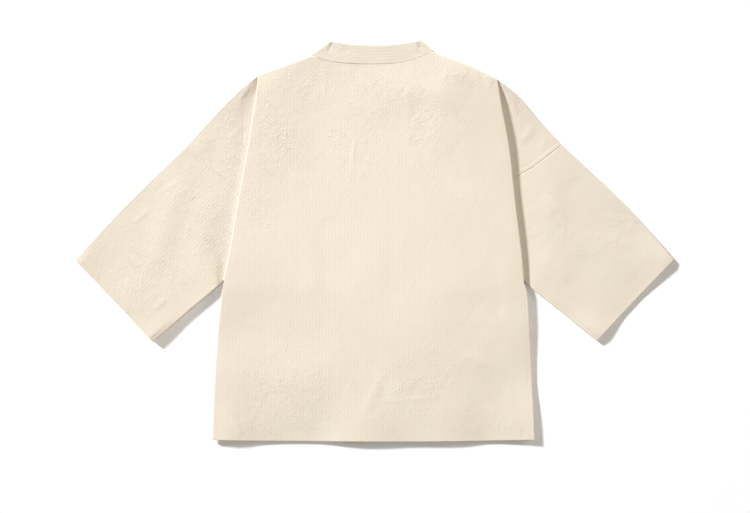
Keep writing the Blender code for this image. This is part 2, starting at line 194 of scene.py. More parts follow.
def along(spots: tuple, share: Number) -> tuple[Array, Array]:
    """The x and y this share of the way along a smooth line through the spots."""
    places = [0.0]
    for a, b in zip(spots, spots[1:]):
        places.append(places[-1] + math.dist(a, b))
    at = np.asarray(share) * places[-1]
    xs = smooth_value(tuple(zip(places, (spot.x for spot in spots))), at)
    ys = smooth_value(tuple(zip(places, (spot.y for spot in spots))), at)
    return xs, ys


def swell_at(rows: tuple, at: Number) -> tuple[Array, Array]:
    """The lift and puff of a table of swells at a place."""
    lift = smooth_value(tuple((row.at, row.lift) for row in rows), at)
    puff = smooth_value(tuple((row.at, row.puff) for row in rows), at)
    return np.maximum(lift, 0.0), np.maximum(puff, 0.0)


def graded(near: tuple, step: float, end: float) -> Array:
    """Distances from an edge: the near ones as given, then even steps to the end."""
    count = max(round((end - near[-1]) / step), 1)
    even = near[-1] + (end - near[-1]) * np.arange(1, count + 1) / count
    return np.concatenate((np.array(near, float), even))


def mirrored(x: Number, y: Number, start: Spot, end: Spot) -> tuple[Number, Number]:
    """The place on the far side of the straight line from start to end."""
    length = math.dist(start, end)
    across = ((end.y - start.y) / length, -(end.x - start.x) / length)
    distance = (x - start.x) * across[0] + (y - start.y) * across[1]
    return x - 2 * distance * across[0], y - 2 * distance * across[1]


@dataclass(frozen=True)
class Waves:
    """Soft unevenness from seeded waves of mixed length, about 1 high at most."""

    seed: int
    shortest: float
    longest: float
    heading: float = 0.0
    spread: float = 90.0
    count: int = 26

    def at(self, x: Number, y: Number) -> Array:
        """The height at a place. The heading is the waves' own, in degrees from +X."""
        draw = np.random.default_rng(self.seed)
        lengths = np.exp(draw.uniform(math.log(self.shortest), math.log(self.longest), self.count))
        angles = np.radians(self.heading + draw.uniform(-self.spread, self.spread, self.count))
        phases = draw.uniform(0, 2 * math.pi, self.count)
        height = 0.0
        for length, angle, phase in zip(lengths, angles, phases):
            path = (x * math.cos(angle) + y * math.sin(angle)) / length
            height = height + np.sin(2 * math.pi * path + phase)
        return height / math.sqrt(self.count) / 1.4


@dataclass(frozen=True)
class Relief:
    """The creases and soft unevenness of one stretch of cloth, seen from above."""

    creases: tuple[Crease, ...] = ()
    zones: tuple[Zone, ...] = ()
    broad: Waves = Waves(seed=3, shortest=90, longest=240)
    broad_height: float = 0.5
    fine: Waves = Waves(seed=5, shortest=13, longest=34)
    fine_height: float = 0.14
    calm: float = 0.25

    def crinkle(self, x: Number, y: Number) -> Array:
        """How crinkled the cloth is at a place, from 0 to 1."""
        total = np.zeros(np.broadcast(x, y).shape)
        for zone in self.zones:
            away = ((x - zone.middle.x) / zone.reach.x) ** 2 + ((y - zone.middle.y) / zone.reach.y) ** 2
            total = np.maximum(total, zone.strength * np.exp(-away))
        return np.clip(self.calm + total * (1 - self.calm), 0.0, 1.0)

    def height(self, x: Number, y: Number) -> Array:
        """The height at a place, in millimetres."""
        total = self.broad_height * self.broad.at(x, y)
        total = total + self.fine_height * self.fine.at(x, y) * self.crinkle(x, y)
        for crease in self.creases:
            total = total + self.crease_height(crease, x, y)
        return total

    @staticmethod
    def crease_height(crease: Crease, x: Number, y: Number) -> Array:
        """The height that one crease adds, with a shallow trough beside its ridge."""
        length = math.dist(crease.start, crease.end)
        dx, dy = (crease.end.x - crease.start.x) / length, (crease.end.y - crease.start.y) / length
        t = ((x - crease.start.x) * dx + (y - crease.start.y) * dy) / length
        side = (x - crease.start.x) * -dy + (y - crease.start.y) * dx
        side = side - crease.bow * 4 * t * (1 - t)
        ends = ease(t / 0.3) * ease((1 - t) / 0.3)
        beside = 0.3 * hump(side - 2 * crease.width, 1.4 * crease.width)
        return crease.height * ends * (hump(side, crease.width) - beside)


@dataclass(frozen=True)
class Half:
    """One half of the garment's outline and folds, from the neck outwards."""

    name: str
    sign: int
    shoulder: tuple[Spot, ...]
    drop: tuple[Spot, ...]
    fold: tuple[Spot, ...]
    tuck_end: Spot
    edge: tuple[Spot, ...]
    armhole: tuple[Spot, ...]
    sleeve_top: tuple[Spot, ...]
    sleeve_under: tuple[Spot, ...]
    edge_swell: tuple[Swell, ...]
    cuff_swell: tuple[Swell, ...]
    under_puff: float
    edge_ditch: float
    seam_show: float
    drop_relief: Relief
    sleeve_relief: Relief


UNDERARM_RISE = 7.6

LEFT = Half(
    name="left",
    sign=-1,
    shoulder=(Spot(-114, 333.5), Spot(-124, 330.5), Spot(-162, 316), Spot(-208, 298)),
    drop=(Spot(-208, 298), Spot(-254, 260), Spot(-302, 210), Spot(-343, 165)),
    fold=(
        Spot(-208, 298),
        Spot(-216, 243),
        Spot(-233, 141),
        Spot(-247, 66),
        Spot(-262, -24),
        Spot(-272, -70),
    ),
    tuck_end=Spot(-215, -20.5),
    edge=(Spot(-272, -70), Spot(-275, -97), Spot(-283.5, -177), Spot(-290.5, -300), Spot(-291.5, -357)),
    armhole=(
        Spot(-343, 165),
        Spot(-286, 124),
        Spot(-241, 95),
        Spot(-230, 62),
        Spot(-227, 20),
        Spot(-226, -22),
    ),
    sleeve_top=(Spot(-343, 165), Spot(-420, 90.5), Spot(-475, 34.5), Spot(-537, -35)),
    sleeve_under=(Spot(-226, -22), Spot(-272, -70), Spot(-335, -124), Spot(-399, -179)),
    edge_swell=(
        Swell(at=0.0, lift=2.6, puff=1.2),
        Swell(at=0.12, lift=0.8, puff=2.0),
        Swell(at=0.38, lift=1.2, puff=2.6),
        Swell(at=0.6, lift=0.8, puff=1.8),
        Swell(at=0.82, lift=4.6, puff=1.0),
        Swell(at=0.94, lift=7.2, puff=0.2),
        Swell(at=1.0, lift=UNDERARM_RISE, puff=0.0),
    ),
    cuff_swell=(
        Swell(at=0.0, lift=1.2, puff=1.0),
        Swell(at=0.25, lift=0.2, puff=0.4),
        Swell(at=0.55, lift=0.6, puff=1.0),
        Swell(at=0.8, lift=0.3, puff=1.4),
        Swell(at=1.0, lift=1.8, puff=2.0),
    ),
    under_puff=5.6,
    edge_ditch=0.0,
    seam_show=0.0,
    drop_relief=Relief(
        creases=(
            Crease(Spot(-219, 281), Spot(-238, 253), 4.0, -0.25, 3.0),
            Crease(Spot(-225, 286), Spot(-245, 256), 3.0, 1.1, 3.0),
            Crease(Spot(-272, 238), Spot(-290, 120), 13.0, -0.3, 8.0),
            Crease(Spot(-300, 205), Spot(-322, 132), 15.0, 0.6, 0.0),
            Crease(Spot(-246, 197), Spot(-276, 186), 2.4, 0.35, 2.0),
            Crease(Spot(-250, 172), Spot(-284, 168), 2.4, -0.3, -2.0),
        ),
        zones=(Zone(Spot(-262, 180), Spot(60, 90), 0.85),),
        fine_height=0.15,
    ),
    sleeve_relief=Relief(
        creases=(
            Crease(Spot(-331, 150), Spot(-417, -92), 20.0, 1.2, 0.0),
            Crease(Spot(-290, 112), Spot(-350, -36), 30.0, -0.6, 10.0),
            Crease(Spot(-402, 76), Spot(-330, 118), 2.4, 0.4, 3.0),
            Crease(Spot(-372, 92), Spot(-349, 66), 2.2, -0.35, 1.0),
            Crease(Spot(-344, 96), Spot(-312, 78), 2.4, 0.08, -2.0),
            Crease(Spot(-356, 62), Spot(-318, 42), 2.4, 0.15, 3.0),
            Crease(Spot(-404, 60), Spot(-434, 34), 4.0, 0.5, 2.0),
            Crease(Spot(-300, 22), Spot(-268, -16), 3.0, 0.12, 4.0),
            Crease(Spot(-316, -8), Spot(-280, -52), 4.0, -0.12, 3.0),
            Crease(Spot(-448, -20), Spot(-402, -68), 5.0, 0.5, 4.0),
            Crease(Spot(-470, -30), Spot(-440, -72), 4.2, -0.5, -3.0),
            Crease(Spot(-372, -98), Spot(-402, -128), 4.2, 0.5, 2.0),
        ),
        zones=(
            Zone(Spot(-330, 90), Spot(60, 50), 0.65),
            Zone(Spot(-300, 10), Spot(60, 70), 0.5),
            Zone(Spot(-430, -50), Spot(90, 80), 0.5),
        ),
        broad=Waves(seed=21, shortest=90, longest=200, heading=45, spread=60),
        broad_height=0.22,
        fine=Waves(seed=22, shortest=13, longest=34, heading=45, spread=50),
        fine_height=0.16,
        calm=0.3,
    ),
)
RIGHT = Half(
    name="right",
    sign=1,
    shoulder=(Spot(103.5, 340.5), Spot(114, 337.5), Spot(165, 318), Spot(220.5, 291)),
    drop=(Spot(220.5, 291), Spot(249, 269), Spot(297, 216), Spot(335.5, 174)),
    fold=(
        Spot(220.5, 291),
        Spot(229, 242),
        Spot(243, 165),
        Spot(254, 65),
        Spot(265, -24),
        Spot(269, -71),
    ),
    tuck_end=Spot(211, -25),
    edge=(Spot(269, -71), Spot(276, -100), Spot(281.5, -199), Spot(286, -292), Spot(288.5, -357)),
    armhole=(
        Spot(335.5, 174),
        Spot(286, 135),
        Spot(250, 112),
        Spot(232, 69),
        Spot(225, 20),
        Spot(221.5, -26),
    ),
    sleeve_top=(Spot(335.5, 174), Spot(433, 82), Spot(480, 33), Spot(537, -34)),
    sleeve_under=(Spot(221.5, -26), Spot(269, -71), Spot(335, -124), Spot(401, -177)),
    edge_swell=(
        Swell(at=0.0, lift=2.8, puff=2.4),
        Swell(at=0.15, lift=0.6, puff=1.6),
        Swell(at=0.3, lift=0.2, puff=1.4),
        Swell(at=0.45, lift=0.8, puff=2.0),
        Swell(at=0.7, lift=3.4, puff=2.4),
        Swell(at=0.86, lift=5.6, puff=1.0),
        Swell(at=0.95, lift=7.3, puff=0.2),
        Swell(at=1.0, lift=UNDERARM_RISE, puff=0.0),
    ),
    cuff_swell=(
        Swell(at=0.0, lift=3.3, puff=2.2),
        Swell(at=0.2, lift=1.6, puff=1.4),
        Swell(at=0.45, lift=0.0, puff=0.2),
        Swell(at=0.7, lift=0.1, puff=0.3),
        Swell(at=0.9, lift=2.4, puff=1.6),
        Swell(at=1.0, lift=3.3, puff=1.4),
    ),
    under_puff=0.9,
    edge_ditch=7.0,
    seam_show=1.0,
    drop_relief=Relief(
        creases=(
            Crease(Spot(240, 270), Spot(262, 226), 6.0, 0.7, -3.0),
            Crease(Spot(286, 210), Spot(262, 178), 8.0, 0.6, 2.0),
            Crease(Spot(300, 196), Spot(284, 168), 6.0, -0.5, 0.0),
        ),
        zones=(Zone(Spot(240, 262), Spot(26, 30), 0.8),),
        broad=Waves(seed=31, shortest=70, longest=160),
        broad_height=0.4,
        fine_height=0.12,
    ),
    sleeve_relief=Relief(
        creases=(
            Crease(Spot(300, 96), Spot(392, -40), 26.0, 1.4, -8.0),
            Crease(Spot(352, 118), Spot(432, 12), 16.0, -0.7, 4.0),
            Crease(Spot(300, -12), Spot(352, -82), 18.0, 0.8, 6.0),
            Crease(Spot(430, -10), Spot(462, -46), 5.0, 0.4, 2.0),
            Crease(Spot(330, 42), Spot(346, 22), 5.0, 0.35, 1.0),
        ),
        zones=(
            Zone(Spot(450, 20), Spot(60, 60), 0.45),
            Zone(Spot(300, 60), Spot(50, 60), 0.4),
        ),
        broad=Waves(seed=33, shortest=90, longest=200, heading=-45, spread=60),
        broad_height=0.5,
        fine=Waves(seed=34, shortest=13, longest=34, heading=-45, spread=50),
        fine_height=0.12,
    ),
)

BACK_RELIEF = Relief(
    creases=(
        Crease(Spot(-8, -285.5), Spot(106, -279.5), 1.9, 0.5, -1.5),
        Crease(Spot(16, -222), Spot(-24, -318), 8.0, 0.45, 4.0),
        Crease(Spot(-44, 188), Spot(-51, 118), 2.4, -0.35, 2.0),
        Crease(Spot(-36, 196), Spot(-42, 108), 3.2, 0.3, 2.0),
        Crease(Spot(86, 248), Spot(60, 202), 2.2, -0.4, -2.0),
        Crease(Spot(58, 292), Spot(62, 160), 9.0, 0.3, 0.0),
        Crease(Spot(112, 250), Spot(96, 130), 12.0, 0.15, 4.0),
        Crease(Spot(108, 284), Spot(133, 303), 2.2, 0.45, -2.0),
        Crease(Spot(128, 302), Spot(170, 303), 2.2, 0.4, -3.0),
        Crease(Spot(190, 300), Spot(196, 268), 5.0, -0.4, 2.0),
        Crease(Spot(40, 235), Spot(120, 360), 46.0, 1.8, 0.0),
        Crease(Spot(100, 236), Spot(164, 335), 36.0, 2.8, 0.0),
        Crease(Spot(196, 298), Spot(214, 282), 5.0, 0.9, 2.0),
        Crease(Spot(-212, 295), Spot(-202, 254), 3.6, 0.8, -5.0),
        Crease(Spot(-186, 226), Spot(-168, 196), 2.2, 0.45, 2.0),
        Crease(Spot(-178, 206), Spot(-160, 176), 2.2, -0.45, 2.0),
        Crease(Spot(-196, 196), Spot(-176, 160), 2.2, 0.45, -2.0),
        Crease(Spot(-150, 122), Spot(-128, 98), 3.6, 0.5, 2.0),
        Crease(Spot(-216, 86), Spot(-190, 58), 3.4, 0.6, 2.0),
        Crease(Spot(-224, 62), Spot(-198, 40), 3.4, -0.5, 2.0),
        Crease(Spot(-232, -142), Spot(-206, -160), 4.0, 0.5, 2.0),
        Crease(Spot(-140, -262), Spot(-96, -262), 1.8, 0.22, 1.0),
        Crease(Spot(-120, -312), Spot(-104, -338), 6.0, 0.35, 2.0),
        Crease(Spot(-256, -318), Spot(-238, -352), 5.0, 0.7, 2.0),
        Crease(Spot(269, -330), Spot(266, -358), 2.4, -0.5, 1.0),
        Crease(Spot(196, -296), Spot(236, -318), 3.0, 0.3, 3.0),
        Crease(Spot(150, -206), Spot(206, -226), 9.0, 0.5, 3.0),
        Crease(Spot(206, -20), Spot(216, -150), 14.0, -0.6, 4.0),
        Crease(Spot(-120, 40), Spot(-112, -120), 16.0, 0.5, 6.0),
        Crease(Spot(20, 60), Spot(30, -140), 18.0, -0.5, 6.0),
    ),
    zones=(
        Zone(Spot(-178, 190), Spot(44, 90), 0.75),
        Zone(Spot(-206, 60), Spot(34, 60), 0.65),
        Zone(Spot(-110, 284), Spot(60, 34), 0.9),
        Zone(Spot(20, 270), Spot(90, 50), 0.7),
        Zone(Spot(-40, 160), Spot(50, 60), 0.5),
        Zone(Spot(90, 230), Spot(50, 70), 0.6),
        Zone(Spot(150, 300), Spot(60, 30), 0.7),
        Zone(Spot(-170, -280), Spot(130, 70), 0.6),
        Zone(Spot(60, -270), Spot(90, 50), 0.5),
        Zone(Spot(200, -300), Spot(70, 50), 0.4),
    ),
    broad=Waves(seed=11, shortest=110, longest=300, heading=10, spread=70),
    broad_height=0.55,
    fine=Waves(seed=12, shortest=14, longest=36, heading=10, spread=60),
    fine_height=0.14,
)
FRONT_RELIEF = Relief(
    creases=(
        Crease(Spot(-150, 210), Spot(-120, 60), 12.0, 0.6, 6.0),
        Crease(Spot(-230, -110), Spot(-130, -190), 9.0, 0.6, 5.0),
        Crease(Spot(-110, -240), Spot(-170, -320), 7.0, 0.5, 3.0),
        Crease(Spot(130, 240), Spot(160, 120), 10.0, 0.6, -5.0),
        Crease(Spot(120, -60), Spot(190, -170), 11.0, 0.6, 4.0),
        Crease(Spot(110, -250), Spot(210, -262), 5.0, 0.5, 2.0),
    ),
    zones=(
        Zone(Spot(-160, 150), Spot(60, 90), 0.7),
        Zone(Spot(160, -240), Spot(80, 70), 0.6),
        Zone(Spot(150, 200), Spot(60, 60), 0.5),
    ),
    broad=Waves(seed=41, shortest=100, longest=260),
    broad_height=0.35,
    fine=Waves(seed=42, shortest=18, longest=40),
    fine_height=0.22,
)


@dataclass(frozen=True)
class BodyForm:
    """The shape in which the back and the fronts lie, shared by both layers.

    A row v is 0 at the hem, 1 at the underarm and 2 at the shoulder.
    """

    left: Half = LEFT
    right: Half = RIGHT
    neck_seam: tuple[Spot, ...] = (
        Spot(-114, 333.5),
        Spot(-106, 331.5),
        Spot(-87, 325.5),
        Spot(-60, 321),
        Spot(-33, 319),
        Spot(12, 319),
        Spot(50, 322),
        Spot(82, 331.5),
        Spot(96, 337.2),
        Spot(103.5, 340.5),
    )
    hem_line: tuple[Spot, ...] = (
        Spot(-291.5, -357),
        Spot(-225, -358.5),
        Spot(0, -360),
        Spot(150, -359.5),
        Spot(288.5, -357),
    )
    hem_swell: tuple[Swell, ...] = (
        Swell(at=-291.5, lift=4.2, puff=0.4),
        Swell(at=-258, lift=5.2, puff=1.0),
        Swell(at=-205, lift=1.0, puff=0.3),
        Swell(at=-150, lift=0.0, puff=0.0),
        Swell(at=-100, lift=0.3, puff=0.2),
        Swell(at=-35, lift=4.6, puff=0.8),
        Swell(at=50, lift=3.6, puff=0.7),
        Swell(at=140, lift=3.8, puff=0.6),
        Swell(at=205, lift=0.3, puff=0.2),
        Swell(at=262, lift=2.2, puff=0.6),
        Swell(at=288.5, lift=4.4, puff=0.4),
    )
    tuck_bends: tuple[Bend, ...] = (
        Bend(at=0.0, radius=1.1, drop_lift=3.8),
        Bend(at=0.05, radius=1.85, drop_lift=2.0),
        Bend(at=0.14, radius=2.5, drop_lift=0.3),
        Bend(at=0.27, radius=2.45, drop_lift=0.1),
        Bend(at=0.38, radius=2.25, drop_lift=0.0),
        Bend(at=0.52, radius=2.0, drop_lift=0.0),
        Bend(at=1.0, radius=1.9, drop_lift=0.0),
    )
    edge_length: float = 287.0
    fold_length: float = 370.0
    tuck_side_length: float = 318.0
    armhole_length: float = 239.0
    hem_width: float = 580.0
    plateau_past_tuck: float = 22.0
    front_flat_from: float = 0.72
    back_flat_from: float = 1.16
    crown: float = 6.8
    neck_dip: float = 2.4
    neck_dip_width: float = 125.0
    neck_dip_height: float = 95.0
    neck_half_width: float = 104.0
    shoulder_round: float = 2.4
    fold_flatness: float = 0.48
    apex_fill: float = 2.6
    hem_fade: float = 140.0
    hem_layers_fade: float = 110.0
    corner_fade: float = 24.0
    roll_height: float = 0.5
    roll_rise: float = 7.0
    roll_fall: float = 60.0
    band_seam_hem: float = 56.5
    band_edge_hem: float = 20.5
    band_edge_neck: float = 76.0
    hem_depth: float = 20.0
    hem_thickness: float = 1.7
    seam_strip: float = 5.2
    seam_strip_height: float = 0.28

    @property
    def halves(self) -> tuple[Half, Half]:
        """Both halves, the wearer's left first."""
        return self.left, self.right

    def fold_share(self, v: Number) -> Array:
        """How far down the tuck a row lies: 0 at the shoulder, 1 at the underarm."""
        return np.clip(2 - np.asarray(v, float), 0.0, 1.0)

    def outline(self, half: Half, v: Number) -> tuple[Array, Array]:
        """The body's outer edge at a row: the side seam, then the fold over the sleeve."""
        v = np.asarray(v, float)
        low = along(half.edge, np.clip(1 - v, 0, 1))
        high = along(half.fold, self.fold_share(v))
        return np.where(v < 1, low[0], high[0]), np.where(v < 1, low[1], high[1])

    def tuck(self, half: Half, v: Number) -> tuple[Array, Array]:
        """The hidden inner fold of the tuck at a row."""
        share = self.fold_share(v)
        start, end = half.fold[0], half.tuck_end
        return mix(start.x, end.x, share), mix(start.y, end.y, share)

    def depth(self, half: Half, v: Number) -> Array:
        """How far the cloth runs back under the body at a row."""
        return half.sign * (self.outline(half, v)[0] - self.tuck(half, v)[0])

    def radius(self, v: Number) -> Array:
        """The radius of the tuck's bends at a row."""
        rows = tuple((row.at, row.radius) for row in self.tuck_bends)
        return smooth_value(rows, self.fold_share(v))

    def drop_lift(self, v: Number) -> Array:
        """How far the dropped shoulder stands off the surface beside the tuck."""
        rows = tuple((row.at, row.drop_lift) for row in self.tuck_bends)
        return np.maximum(smooth_value(rows, self.fold_share(v)), 0.0)

    def fold_rise(self, v: Number) -> Array:
        """How far the tuck lifts the body's edge at a row."""
        return 4 * self.radius(v) + self.drop_lift(v)

    def seam_closing(self, v: Number) -> Array:
        """1 where the layers meet at the side seam, 0 where the tuck holds them open."""
        v = np.asarray(v, float)
        return ease((1 - v) * self.edge_length / self.corner_fade)

    def inset(self, v: Number) -> Array:
        """How far inside the outline the main cloth's middle ends at a row."""
        fold = self.fold_flatness * (self.radius(v) + PAIR_PITCH / 2) + WALL / 2
        return mix(fold, WALL / 2, self.seam_closing(v))

    def up(self, v: Number) -> Array:
        """How far up the body a row lies, 0 at the hem and 1 at the shoulder."""
        low, high = self.left.edge[-1].y, self.left.fold[0].y
        return (self.outline(self.left, v)[1] - low) / (high - low)

    def band_seam(self, half: Half, v: Number) -> Array:
        """The x of the seam between a front and the band at a row."""
        return mix(half.sign * self.band_seam_hem, half.shoulder[0].x, self.up(v))

    def band_edge(self, half: Half, v: Number) -> Array:
        """The x of the band's free edge at a row."""
        return half.sign * mix(self.band_edge_hem, self.band_edge_neck, self.up(v))

    def top_y(self, x: Number) -> Array:
        """The y of the shoulders and neck seam at an x."""
        spots = tuple(reversed(self.left.shoulder)) + self.neck_seam[1:] + self.right.shoulder[1:]
        return smooth_value(spots, x)

    def chord_y(self, v: Number, x: Number) -> Array:
        """The y at an x of the straight line across the body at a row."""
        (left_x, left_y), (right_x, right_y) = self.outline(self.left, v), self.outline(self.right, v)
        return mix(left_y, right_y, (x - left_x) / (right_x - left_x))

    def row_y(self, v: Number, x: Number) -> Array:
        """The y at an x of a row, which bends to the shoulders above and the hem below."""
        v = np.asarray(v, float)
        top_bend = self.top_y(x) - self.chord_y(2.0, x)
        hem_bend = smooth_value(self.hem_line, x) - self.chord_y(0.0, x)
        top_weight, hem_weight = np.clip(v - 1, 0, 1), np.clip(1 - v, 0, 1)
        return self.chord_y(v, x) + top_bend * top_weight**2 + hem_bend * hem_weight**2

    def side_swell(self, half: Half, x: Number, v: Array, layer: Layer) -> tuple[Array, Array]:
        """The rise that comes from one side's edge.

        Args:
            half: the side.
            x: the places across.
            v: the rows.
            layer: the back falls slowly to the body's crown, a front soon lies flat.

        Returns:
            How high the edge lifts the layer, and how much of that is left at x.
        """
        edge_x = self.outline(half, v)[0]
        width = half.sign * (edge_x - self.band_seam(half, v))
        share = np.clip(half.sign * (edge_x - x), 0.0, None) / width
        held = (self.depth(half, np.maximum(v, 1.0)) + self.plateau_past_tuck) / width
        plateau = held * np.where(v < 1, ease(2 * v - 1), 1.0)
        edge_lift, edge_puff = swell_at(half.edge_swell, np.clip(v, 0, 1))
        rise = np.where(v < 1, edge_lift, self.fold_rise(v))
        if layer is Layer.BACK:
            rise = rise + np.where(v < 1, edge_puff, 0.0)
        flat_from = self.back_flat_from if layer is Layer.BACK else self.front_flat_from
        return rise, 1 - ease((share - plateau) / (flat_from - plateau))

    def edge_roll(self, x: Number, v: Array) -> Array:
        """The last small rise of the back just inside its edges."""
        roll = 0.0
        for half in self.halves:
            inside = np.clip(half.sign * (self.outline(half, v)[0] - x), 0.0, None)
            roll = roll + (1 - np.exp(-inside / self.roll_rise)) * hump(inside, self.roll_fall)
        return self.roll_height * roll * ease(self.fold_share(v) / 0.06)

    def hem_distance(self, x: Number, v: Array) -> Array:
        """How far above the hem's edge a place is."""
        return self.row_y(v, x) - self.row_y(0.0, x)

    def flat_height(self, x: Number, v: Array, layer: Layer) -> Array:
        """The height of the middle of one layer where the body lies flat."""
        above_hem = self.hem_distance(x, v)
        y = self.row_y(v, x)
        hem_lift, hem_puff = swell_at(self.hem_swell, x)
        fade = 1 - ease(above_hem / self.hem_fade)
        lift = 0.0
        for half in self.halves:
            rise, share = self.side_swell(half, x, v, Layer.FRONT)
            lift = lift + rise * share
        lift = mix(lift, hem_lift, fade)
        front_rise = np.maximum(FRONT_RELIEF.height(x, y), 0.0) * ease(above_hem / 40)
        if layer is Layer.FRONT:
            return PAIR_LEVEL + lift + front_rise - self.layer_offset(x, v, y, 0.0, 1.0)
        below_top = self.top_y(x) - y
        near_neck = (1 - ease(below_top / self.neck_dip_height)) * hump(x, self.neck_dip_width)
        crown = self.crown - self.neck_dip * near_neck
        back_lift = crown
        for half in self.halves:
            rise, share = self.side_swell(half, x, v, Layer.BACK)
            back_lift = back_lift + (rise - crown) * share
        back_lift = mix(back_lift + self.edge_roll(x, v), hem_lift + hem_puff, fade)
        hem_layers = self.hem_thickness * (1 - ease((above_hem - self.hem_depth) / self.hem_layers_fade))
        on_shoulder = ease((np.abs(x) - self.neck_half_width) / 22)
        puff = np.maximum(back_lift - lift, 0.0) * mix(1.0, rounded(below_top, self.shoulder_round), on_shoulder)
        puff = puff + hem_layers + np.maximum(BACK_RELIEF.height(x, y), -0.55) + 0.35
        puff = puff + self.hem_pucker(x, above_hem) + self.ditch(x, v)
        return PAIR_LEVEL + lift + self.layer_offset(x, v, y, puff, on_shoulder)

    def layer_offset(self, x: Number, v: Array, y: Array, puff: Number, on_shoulder: Number) -> Array:
        """How far a layer's middle is from the middle of the pair, closing at the edges."""
        side_gaps = [half.sign * (self.outline(half, v)[0] - x) - WALL / 2 for half in self.halves]
        closing = mix(1.0, rounded(np.minimum(*side_gaps)), self.seam_closing(v))
        closing = closing * mix(1.0, rounded(self.top_y(x) - y), on_shoulder)
        return EDGE_TOUCH + (PAIR_PITCH / 2 - EDGE_TOUCH + puff) * closing

    def hem_pucker(self, x: Number, above_hem: Array) -> Array:
        """The stitched line at the hem's top and the small puckers that it draws."""
        ripple = 0.1 * np.sin(2 * math.pi * (x + 0.7 * above_hem) / 12.5 + 3.1 * np.sin(x / 31))
        band = ease(above_hem / 6) * (1 - ease((above_hem - self.hem_depth) / 7))
        return ripple * band - 0.05 * hump(above_hem - self.hem_depth, 1.2)

    def ditch(self, x: Number, v: Array) -> Array:
        """The side seam where it has rolled a little way onto the back."""
        depth = 0.0
        for half in self.halves:
            if half.edge_ditch:
                inside = half.sign * (self.outline(half, v)[0] - x)
                depth = depth - 0.1 * hump(inside - half.edge_ditch, 0.8) * self.seam_closing(v)
        return depth

    def flat_point(self, x: Array, v: Array, layer: Layer) -> tuple[Array, Array, Array]:
        """The middle of a layer's wall at a place across and a row."""
        return x, self.row_y(v, x), self.flat_height(x, v, layer)

    def span(self, v: Array) -> tuple[Array, Array]:
        """The x where the main cloth starts and ends at a row."""
        left = self.outline(self.left, v)[0] + self.inset(v)
        right = self.outline(self.right, v)[0] - self.inset(v)
        return left, right

    def pleat_point(self, half: Half, stage: Stage, t: float, v: Array, layer: Layer) -> tuple:
        """A point of the tuck or the dropped shoulder.

        Args:
            half: the side.
            stage: the stretch of cloth, from the body's edge outwards.
            t: the share of the way along that stretch.
            v: the rows.
            layer: the back or a front.

        Returns:
            x, y and height of the wall's middle, and the u and v of the flat pattern.
        """
        share = self.fold_share(v)
        outer_x, outer_y = self.outline(half, v)
        inner_x, inner_y = self.tuck(half, v)
        turn = math.pi * mix(0.5, 1.0, np.clip(share * 12, 0, 1))
        radius, start = self.radius(v), half.sign * outer_x - self.inset(v)
        body_edge = start * half.sign
        top = self.flat_height(body_edge, v, layer) - layer.value * PAIR_PITCH / 2
        straight = np.maximum(self.depth(half, v) - 2 * radius, 2 * radius / np.tan(turn / 2))
        first_end = start + self.fold_flatness * radius * np.sin(turn)
        second_start = first_end + straight * np.cos(turn)
        base = PAIR_LEVEL + self.drop_lift(v)
        low = base + radius * (1 - np.cos(turn))
        angle, y = turn, mix(outer_y, inner_y, t)
        if stage is Stage.OUTER_BEND:
            angle, y = turn * t, outer_y
            across = start + self.fold_flatness * radius * np.sin(angle)
            height = top - radius * (1 - np.cos(angle))
        elif stage is Stage.UNDER:
            across = mix(first_end, second_start, t)
            height = mix(top - radius * (1 - np.cos(turn)), low, t)
        elif stage is Stage.INNER_BEND:
            angle, y = turn * (1 - t), inner_y
            across = second_start + radius * (np.sin(turn) - np.sin(angle))
            height = base + radius * (1 - np.cos(angle))
        else:
            drop_x = half.sign * (second_start + radius * np.sin(turn))
            return self.drop_point(half, t, v, layer, drop_x, inner_y)
        offset = layer.value * PAIR_PITCH / 2
        squash = self.fold_flatness if stage is Stage.OUTER_BEND else 1.0
        if stage is Stage.UNDER:
            squash = mix(self.fold_flatness, 1.0, t)
        x = half.sign * (across + squash * np.sin(angle) * offset)
        height = height + np.cos(angle) * offset
        if stage is Stage.OUTER_BEND:
            return x, y, height, body_edge + half.sign * radius * angle, y
        return (x, y, height) + mirrored(x, y, half.fold[0], half.fold[-1])

    def drop_point(self, half: Half, t: float, v: Array, layer: Layer, start_x: Array, start_y: Array) -> tuple:
        """A point of the dropped shoulder, t of the way from the tuck to the armhole."""
        share = self.fold_share(v)
        seam_x, seam_y = along(half.armhole, share)
        length = np.hypot(seam_x - start_x, seam_y - start_y)
        reach = t * (1 - mix(0.1, SEAM_GAP, half.seam_show) / length)
        x, y = mix(start_x, seam_x, reach), mix(start_y, seam_y, reach)
        line_x, line_y = along(half.drop, t)
        near_top = (1 - ease(share / 0.05)) ** 2
        x, y = mix(x, line_x, near_top), mix(y, line_y, near_top)
        from_seam = length * (1 - reach)
        from_top = share * mix(self.tuck_side_length, self.armhole_length, t)
        clear = ease(half.sign * (x - self.outline(half, v)[0]) / 14)
        strip = self.seam_strip_height * (1 - ease((from_seam - self.seam_strip) / 2.0)) * rounded(from_seam, 0.9)
        strip = (strip - 0.25 * hump(from_seam - self.seam_strip - 1.0, 0.9)) * half.seam_show
        puff = clear * np.maximum(half.drop_relief.height(x, y), -0.4) * ease(from_seam / 14)
        apex = (1 - ease(share / 0.09)) * ease(t / 0.05) * (1 - ease((t - 0.05) / 0.3))
        puff = (puff + strip) * ease(from_top / 10) + self.apex_fill * apex
        if layer is Layer.FRONT:
            puff = 0.0
        offset = EDGE_TOUCH + (PAIR_PITCH / 2 - EDGE_TOUCH + puff) * rounded(from_top)
        pattern = mirrored(*mirrored(x, y, half.fold[0], half.tuck_end), half.fold[0], half.fold[-1])
        lift = self.drop_lift(v) * (1 - ease(1.25 * t))
        return (x, y, PAIR_LEVEL + lift + layer.value * offset) + pattern


